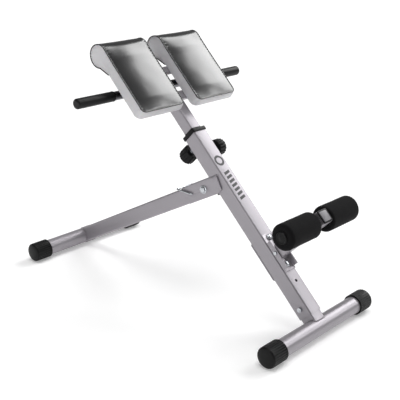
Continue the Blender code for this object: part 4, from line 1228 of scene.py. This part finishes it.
# %% [markdown]
# ## Pads
# A hip pad is foam on a plywood board under a sewn vinyl cover. The cover has a black top
# panel that runs over the rolled upper end, a white boxing on the sides and the lower edge,
# and piping along each seam. The cover is built as one closed net: the side outline is
# repeated across the pad, and each end is filled by rings that shrink to the middle line. The
# seams are marked, so that they can be held during the simulation and piped after it.
# Its top is crowned and its sides flare towards the board, as thick foam makes a real cover do.

# %% The side outline of a pad
pad_low, pad_high = span("pad_left")
board_low, board_high = span("pad_board_left")
roll_r = (pad_high.y - pad_low.y) / 2
roll_n = (pad_high.y + pad_low.y) / 2
roll_u = pad_high.z - roll_r
under = board_low.y
seam_top = pad_high.y - 5.2 * MM
ROLL_FROM = pad_low.z + 0.155  # where the underside leaves the board and the roll begins
SWELL = 4.5 * MM  # room left beside the net for the stuffing
CORNER = 14 * MM  # corner radius seen from above
CROWN = 7 * MM  # how much thicker the foam is in the middle
FLARE = 0.10  # how much wider the sides get towards the board
NET = 5.5 * MM  # the net's spacing


def even(points, step):
    """The same closed line with evenly spaced points."""
    line = [Vector((*p, 0)) for p in points] + [Vector((*points[0], 0))]
    lengths = [0.0]
    for a, b in zip(line, line[1:]):
        lengths.append(lengths[-1] + (b - a).length)
    count = round(lengths[-1] / step)
    at = np.linspace(0, lengths[-1], count + 1)[:-1]
    xs = np.interp(at, lengths, [p.x for p in line])
    ys = np.interp(at, lengths, [p.y for p in line])
    return list(zip(xs, ys))


def pad_side():
    """The pad's side view as (up the post, above the post) points, starting at the lower edge."""
    inner_r = roll_r - 2.5 * MM
    first = pad_low.z + 2 * MM
    points = [(pad_low.z, under + 3 * MM), (pad_low.z + 0.8 * MM, under + 0.6 * MM),
              (pad_low.z + 3 * MM, under), (ROLL_FROM, under)]
    points += arc((roll_u, roll_n), inner_r, 212, 445, 40)
    points += [(pad_low.z + 0.188, seam_top + 0.8 * MM), (pad_low.z + 0.165, seam_top)]
    return points + [(first + 3 * MM, seam_top), (first + 0.6 * MM, seam_top - 2 * MM),
                     (first, seam_top - 5 * MM)]


outline = even(pad_side(), NET)


def nearest(point):
    """The outline's point that lies nearest to a place."""
    return min(range(len(outline)), key=lambda i: math.dist(outline[i], point))


front_seam = nearest((pad_low.z + 3.5 * MM, seam_top))
roll_start = nearest((ROLL_FROM, under))
print("pad outline:", len(outline), "points, front seam at point", front_seam)


# %% Crown, flare and seams of the net
def clamp(value, low=0.0, high=1.0):
    """A value kept between two limits."""
    return min(max(value, low), high)


def crown_top(rings, inner, outer):
    """Raise the top panel towards its middle, as thick foam does, but leave the roll straight."""
    for i in range(roll_start, front_seam + 1):
        before, after = outline[i - 1], outline[(i + 1) % len(outline)]
        facing = Vector((0, before[0] - after[0], after[1] - before[1])).normalized()
        rise = min((i - roll_start) / 6, (front_seam - i) / 7, 1) * CROWN
        rise *= clamp((roll_u + 0.010 - outline[i][0]) / 0.045)
        for ring in rings:
            share = abs(ring[i].co.x - (inner + outer) / 2) / ((outer - inner) / 2)
            ring[i].co += facing * rise * (1 - min(share, 1) ** 2.2)


def flare_sides(mesh, middle_x):
    """Widen the sides a little towards the board, less so at the roll."""
    for vert in mesh.verts:
        depth = clamp((seam_top - vert.co.y) / (seam_top - under))
        fade = 1 - 0.6 * clamp((vert.co.z - roll_u + 0.06) / 0.05)
        vert.co.x = middle_x + (vert.co.x - middle_x) * (1 + FLARE * depth * fade)


def mark_seams(mesh, rings):
    """Mark both sides of the top panel and its front edge as seams."""
    for ring in (rings[0], rings[-1]):
        for a, b in zip(ring[roll_start:front_seam], ring[roll_start + 1:front_seam + 1]):
            mesh.edges.get((a, b)).seam = True
    front = [ring[front_seam] for ring in rings]
    for a, b in zip(front, front[1:]):
        mesh.edges.get((a, b)).seam = True


# %% The closed net
def middle_line(u, n):
    """Where a side outline point shrinks to: a row of places along the pad's middle."""
    grid = NET * 1.25
    start, end = pad_low.z + 0.030, roll_u
    along = clamp(u, start, end)
    along = start + round((along - start) / grid) * grid
    share = clamp((along - start - 0.12) / 0.09)
    return along, (under + seam_top) / 2 * (1 - share) + roll_n * share


def pad_net():
    """The left pad's cover before it is stuffed, with its seams marked."""
    mesh = bmesh.new()
    found = {}

    def at(x, u, n):
        key = (round(x, 6), round(u, 6), round(n, 6))
        if key not in found:
            found[key] = mesh.verts.new((x, n, u))
        return found[key]

    inner, outer = pad_low.x + 1 * MM, pad_high.x - SWELL
    turn = np.linspace(0, math.pi / 2, 6)[:-1]
    flat = np.linspace(CORNER, outer - inner - CORNER, round((outer - inner - 2 * CORNER) / NET) + 1)
    edge = [(CORNER * (1 - math.cos(a)), CORNER * (1 - math.sin(a))) for a in turn]
    steps = edge + [(x, 0.0) for x in flat] + [(outer - inner - x, back) for x, back in reversed(edge)]

    def pulled_back(u, back):
        """Near the lower edge the outline steps back, so that the pad has round corners from above."""
        return u + back * max(1 - (u - pad_low.z) / 0.045, 0)

    rings = [[at(inner + x, pulled_back(u, back), n) for u, n in outline] for x, back in steps]
    crown_top(rings, inner, outer)
    for ring, following in zip(rings, rings[1:]):
        bridge(mesh, ring, following)
    for face in mesh.faces:
        place = sum(v.co.z for v in face.verts) / 4, sum(v.co.y for v in face.verts) / 4
        lower = outline[front_seam][1] - 0.3 * MM
        front = place[0] < pad_low.z + CORNER + 4 * MM and under + MM < place[1] < lower
        face.material_index = 1 if front else 0
    centres = [middle_line(u, n) for u, n in outline]
    for x, turn in ((inner, 1), (outer, -1)):
        side = [(pulled_back(u, CORNER), n) for u, n in outline]
        rows = [[at(x, u + (cu - u) * t, n + (cn - n) * t) for (u, n), (cu, cn) in zip(side, centres)]
                for t in (0, 0.14, 0.3, 0.5, 0.72, 1.0)]
        before = set(mesh.faces)
        for ring, following in zip(rows, rows[1:]):
            bridge(mesh, ring, following)
        for face in set(mesh.faces) - before:
            face.material_index = 1
    mark_seams(mesh, rings)
    flare_sides(mesh, (inner + outer) / 2)
    bmesh.ops.recalc_face_normals(mesh, faces=mesh.faces)
    return mesh


net = pad_net()
open_edges = sum(1 for edge in net.edges if len(edge.link_faces) != 2)
print("pad net:", len(net.verts), "points,", open_edges, "open edges")

# %% [markdown]
# The cover is stuffed by Blender's cloth simulation: gravity is off and a pressure pushes
# every panel outwards, while the seams and the underside, which is stapled to the board, are
# held by a pin group. After 20 frames each point's travel is capped, because real foam fills
# a cover but does not blow it up like a balloon. The result is applied, so no simulation is
# left, and one subdivision smooths the net.

# %% Stuffing the cover
def stuff(made, cap):
    """Inflate a closed cover with its pinned points held, and cap how far it swells."""
    start = [v.co.copy() for v in made.data.vertices]
    held = made.vertex_groups.new(name="held")
    pinned = {i for edge in made.data.edges if edge.use_seam for i in edge.vertices}
    into = POST.inverted()
    for vert in made.data.vertices:
        local = into @ vert.co
        if local.y < under + 2 * MM and local.z < board_high.z + 5 * MM:
            pinned.add(vert.index)
    held.add(list(pinned), 1.0, "REPLACE")
    cloth = made.modifiers.new("cover", "CLOTH")
    cloth.settings.quality = 6
    cloth.settings.mass = 0.3
    cloth.settings.tension_stiffness = 25
    cloth.settings.compression_stiffness = 25
    cloth.settings.bending_stiffness = 2.0
    cloth.settings.use_pressure = True
    cloth.settings.uniform_pressure_force = 4
    cloth.settings.vertex_group_mass = "held"
    cloth.settings.effector_weights.gravity = 0
    cloth.collision_settings.use_collision = False
    cloth.point_cache.frame_start = 1
    cloth.point_cache.frame_end = 20
    scene = bpy.context.scene
    for frame_number in range(1, 21):
        scene.frame_set(frame_number)
    settle(made)
    scene.frame_set(1)
    most = 0.0
    for vert, before in zip(made.data.vertices, start):
        travel = vert.co - before
        most = max(most, travel.length)
        if travel.length > cap:
            vert.co = before + travel.normalized() * cap
    return most


left_pad = keep("hip_pad_left", net, POST, smooth=180)
for finish in (BLACK_VINYL, WHITE_VINYL):
    left_pad.data.materials.append(finish)
print("widest swell before the cap:", round(stuff(left_pad, 3.5 * MM) / MM, 1), "mm")
rounder = left_pad.modifiers.new("rounder", "SUBSURF")
rounder.levels = rounder.render_levels = 1
settle(left_pad)

# %% [markdown]
# Sewing draws the fabric together, so small gathers run away from a seam and fade within
# about a centimetre. They are strongest where the white side is eased round the rolled end.
# Each point near a seam is pushed along its normal by a wave that runs along the seam.

# %% Gathers along the seams
def gather(made, wave, deep):
    """Pucker the cover beside its seams."""
    into = POST.inverted()
    seam = sorted({i for edge in made.data.edges if edge.use_seam for i in edge.vertices})
    tree = KDTree(len(seam))
    for place_in, i in enumerate(seam):
        tree.insert(made.data.vertices[i].co, place_in)
    tree.balance()
    moves = []
    for vert in made.data.vertices:
        local = into @ vert.co
        near, _, gap = tree.find(vert.co)
        seam_at = into @ near
        turn = math.atan2(seam_at.y - roll_n, seam_at.z - roll_u)
        run = seam_at.z if seam_at.z < roll_u - 0.03 else roll_u + turn * roll_r
        amount = math.sin(2 * math.pi * run / wave + 2.0 * noise.noise(seam_at / (22 * MM)))
        strong = 1.0 if local.z > roll_u - 0.05 else 0.45
        white_side = abs(local.x - pad_low.x) < 8 * MM or abs(local.x - pad_high.x) < 8 * MM
        fade = math.exp(-((gap - 4 * MM) / (5 * MM)) ** 2) * min(gap / (3 * MM), 1)
        slow = noise.noise(vert.co / (45 * MM)) * 0.5 * MM * min(gap / (8 * MM), 1)
        held = local.y < under + 3 * MM and local.z < board_high.z + 5 * MM
        share = strong * (1.0 if white_side else 0.4)
        moves.append(0.0 if held else amount * fade * share * deep + slow)
    for vert, move in zip(made.data.vertices, moves):
        vert.co += vert.normal * move


gather(left_pad, 9 * MM, 1.6 * MM)
into_pad = POST.inverted()
for vert in left_pad.data.vertices:
    local = into_pad @ vert.co
    across = board_low.x + 2 * MM < local.x < board_high.x - 2 * MM
    if across and board_low.z < local.z < board_high.z and local.y < under + 4 * MM:
        local.y = under + 1.0 * MM
        vert.co = POST @ local
left_pad.data.shade_smooth()


# %% Piping, and the second pad
def seam_path(made, name):
    """The seams of a cover as an object of bare edges."""
    edges = [edge.vertices[:] for edge in made.data.edges if edge.use_seam]
    used = sorted({i for pair in edges for i in pair})
    new = {old: i for i, old in enumerate(used)}
    data = bpy.data.meshes.new(name)
    data.from_pydata([made.data.vertices[i].co[:] for i in used], [(new[a], new[b]) for a, b in edges], [])
    return link(name, data)


def mirrored(made, name):
    """The same piece on the bench's other side, with its faces turned back outwards."""
    data = made.data.copy()
    data.transform(Matrix.Diagonal((-1, 1, 1, 1)))
    data.flip_normals()
    return link(name, data)


PIPING_R = 1.9 * MM
left_piping = grow(seam_path(left_pad, "pad_piping_left"), SWEEP, radius=PIPING_R, sides=10,
                   finish=BLACK_VINYL)
left_piping.data.shade_smooth()
for made, piping, side_name in ((left_pad, left_piping, "left"),
                                (mirrored(left_pad, "hip_pad_right"),
                                 mirrored(left_piping, "pad_piping_right"), "right")):
    dress(made, BLACK_VINYL, stands_for=f"pad_{side_name}")
    dress(piping, BLACK_VINYL, body="slider")
print("pads:", len(left_pad.data.polygons), "faces each")

# %% Boards
for side_name in ("left", "right"):
    node = f"pad_board_{side_name}"
    low, high = span(node)
    board = keep(f"{node}_plywood", block(low, high))
    screws = [axis_span(f"{name}_pad_screw_{side_name}", POST, "y")[0] for name in ("lower", "upper")]
    carve(board, [hole(M6_HOLE_R, "y", (at.x, low.y, at.z), 9.5 * MM) for at in screws])
    dress(soften(board, 0.6 * MM), PLYWOOD, stands_for=node)

# %% [markdown]
# ## A plain mark on the post
# The post carries a printed mark on its upper side. Here it is a generic one: a ring and a
# row of slanted bars, which say nothing. The bars repeat, so a tree lays them out along a
# line. Each is a thin film of ink, 0.15 mm thick, printed on the powder coat.

# %% The mark
def bar_tree():
    """A row of one mark along local Z."""
    tree, given, result = new_tree("printed_bars", {"Count": "Int", "Step": "Vector", "Finish": "Material"})
    line = add(tree, "GeometryNodeMeshLine", {"Count": given["Count"], "Offset": given["Step"]},
               mode="OFFSET")
    row = add(tree, "GeometryNodeInstanceOnPoints", {"Points": line.outputs["Mesh"],
                                                     "Instance": given["Geometry"]})
    return finish_tree(tree, given, row.outputs["Instances"], result)


FILM = 0.15 * MM
bar_wide, bar_tall, lean = 23 * MM, 8.5 * MM, 5 * MM
shape = prism([(-bar_wide / 2, -bar_tall / 2 - lean / 2), (bar_wide / 2, -bar_tall / 2 + lean / 2),
               (bar_wide / 2, bar_tall / 2 + lean / 2), (-bar_wide / 2, bar_tall / 2 - lean / 2)], 0, FILM)
bars = keep("post_mark_bars", shape, Matrix.Identity(4))
grow(bars, bar_tree(), count=7, step=(0, 14 * MM, 0), finish=INK)
onto_post = POST @ Matrix.Translation((0, post_half + 0.02 * MM, 0)) @ Matrix.Rotation(-math.pi / 2, 4, "X")
bars_start = 0.411
bars.data.transform(onto_post @ Matrix.Rotation(math.pi, 4, "Z") @ Matrix.Translation((0, bars_start, 0)))
dress(bars, INK, body="frame")
ring_at = 0.536
ring = pipe(circle(17 * MM, 64), circle(10 * MM, 64), 0, FILM)
dress(keep("post_mark_ring", lay(ring, "y", (0, post_half + 0.02 * MM, ring_at))), INK, body="frame")
print("mark done")

# %% [markdown]
# ## Studio
# The floor is a pale sheet that runs far past the view. One large soft light stands behind
# the bench, where its reflection lies across the pads and the upper sides of the slanted
# tubes. A narrow one beside it draws the bright line along the round tubes. A light overhead
# gives the soft shadow, a weak box fills the near side, and the white surround does the rest.

# %% Floor
# Matt background paper, glowing faintly so that it stays white where the soft shadow ends.
PAPER, _, paper_shader = material("studio_paper", "f4f4f4", 0.9, Emission_Strength=0.24)
paper_shader.inputs["Emission Color"].default_value = linear("ffffff")
sheet = bmesh.new()
bmesh.ops.create_grid(sheet, x_segments=1, y_segments=1, size=30)
floor = keep("studio_floor", sheet, Matrix.Translation((0, 0, -0.0005)))
floor.data.materials.append(PAPER)


# %% Lights and surround
def softbox(name, towards, distance, size, watts):
    """A square area light that looks back at the bench from a direction."""
    lamp = bpy.data.lights.new(name, "AREA")
    lamp.size = size
    lamp.energy = watts
    light = link(name, lamp)
    direction = Vector(towards).normalized()
    light.location = Vector((0, 0, 0.4)) + direction * distance
    light.rotation_euler = direction.to_track_quat("Z", "Y").to_euler()
    return light


def skylight(name, towards, spread, strength):
    """A light at a great distance, as wide as its spread in degrees."""
    lamp = bpy.data.lights.new(name, "SUN")
    lamp.angle = math.radians(spread)
    lamp.energy = strength
    light = link(name, lamp)
    light.rotation_euler = Vector(towards).to_track_quat("Z", "Y").to_euler()
    return light


skylight("back_softbox", (-0.795, 0.07, 0.6), 32, 1.5)
skylight("low_back_softbox", (-0.70, 0.52, 0.47), 16, 0.45)
skylight("ceiling_softbox", (0.0, 0.0, 1.0), 40, 1.25)
softbox("side_softbox", (1.0, 0.08, 0.12), 1.6, 0.9, 4.5)
surround = bpy.data.worlds.new("white_surround")
surround.use_nodes = True
backdrop = surround.node_tree.nodes["Background"]
backdrop.inputs["Color"].default_value = linear("ffffff")
backdrop.inputs["Strength"].default_value = 0.21
bpy.context.scene.world = surround

# %% Camera
eye = Vector((1.6689, 1.5760, 1.1060))
heading, down, roll = 0.7419, 0.3474, 0.0059
level = math.cos(down)
forward = Vector((-math.cos(heading) * level, -math.sin(heading) * level, -math.sin(down)))
right = Vector((-math.sin(heading), math.cos(heading), 0))
upward = right.cross(forward)
tilted_right = right * math.cos(roll) + upward * math.sin(roll)
tilted_up = -right * math.sin(roll) + upward * math.cos(roll)
seat = Matrix((tilted_right, tilted_up, -forward)).transposed().to_4x4()
seat.translation = eye
lens = bpy.data.cameras.new("camera")
lens.lens = 73.40
lens.sensor_width = 36
camera = link("camera", lens)
camera.matrix_world = seat
bpy.context.scene.camera = camera
bpy.context.scene.view_settings.view_transform = "Standard"

# %% [markdown]
# ## The end
# The number of dressed pieces is printed.

# %% The end
print("dressed:", len(dressed), "pieces")
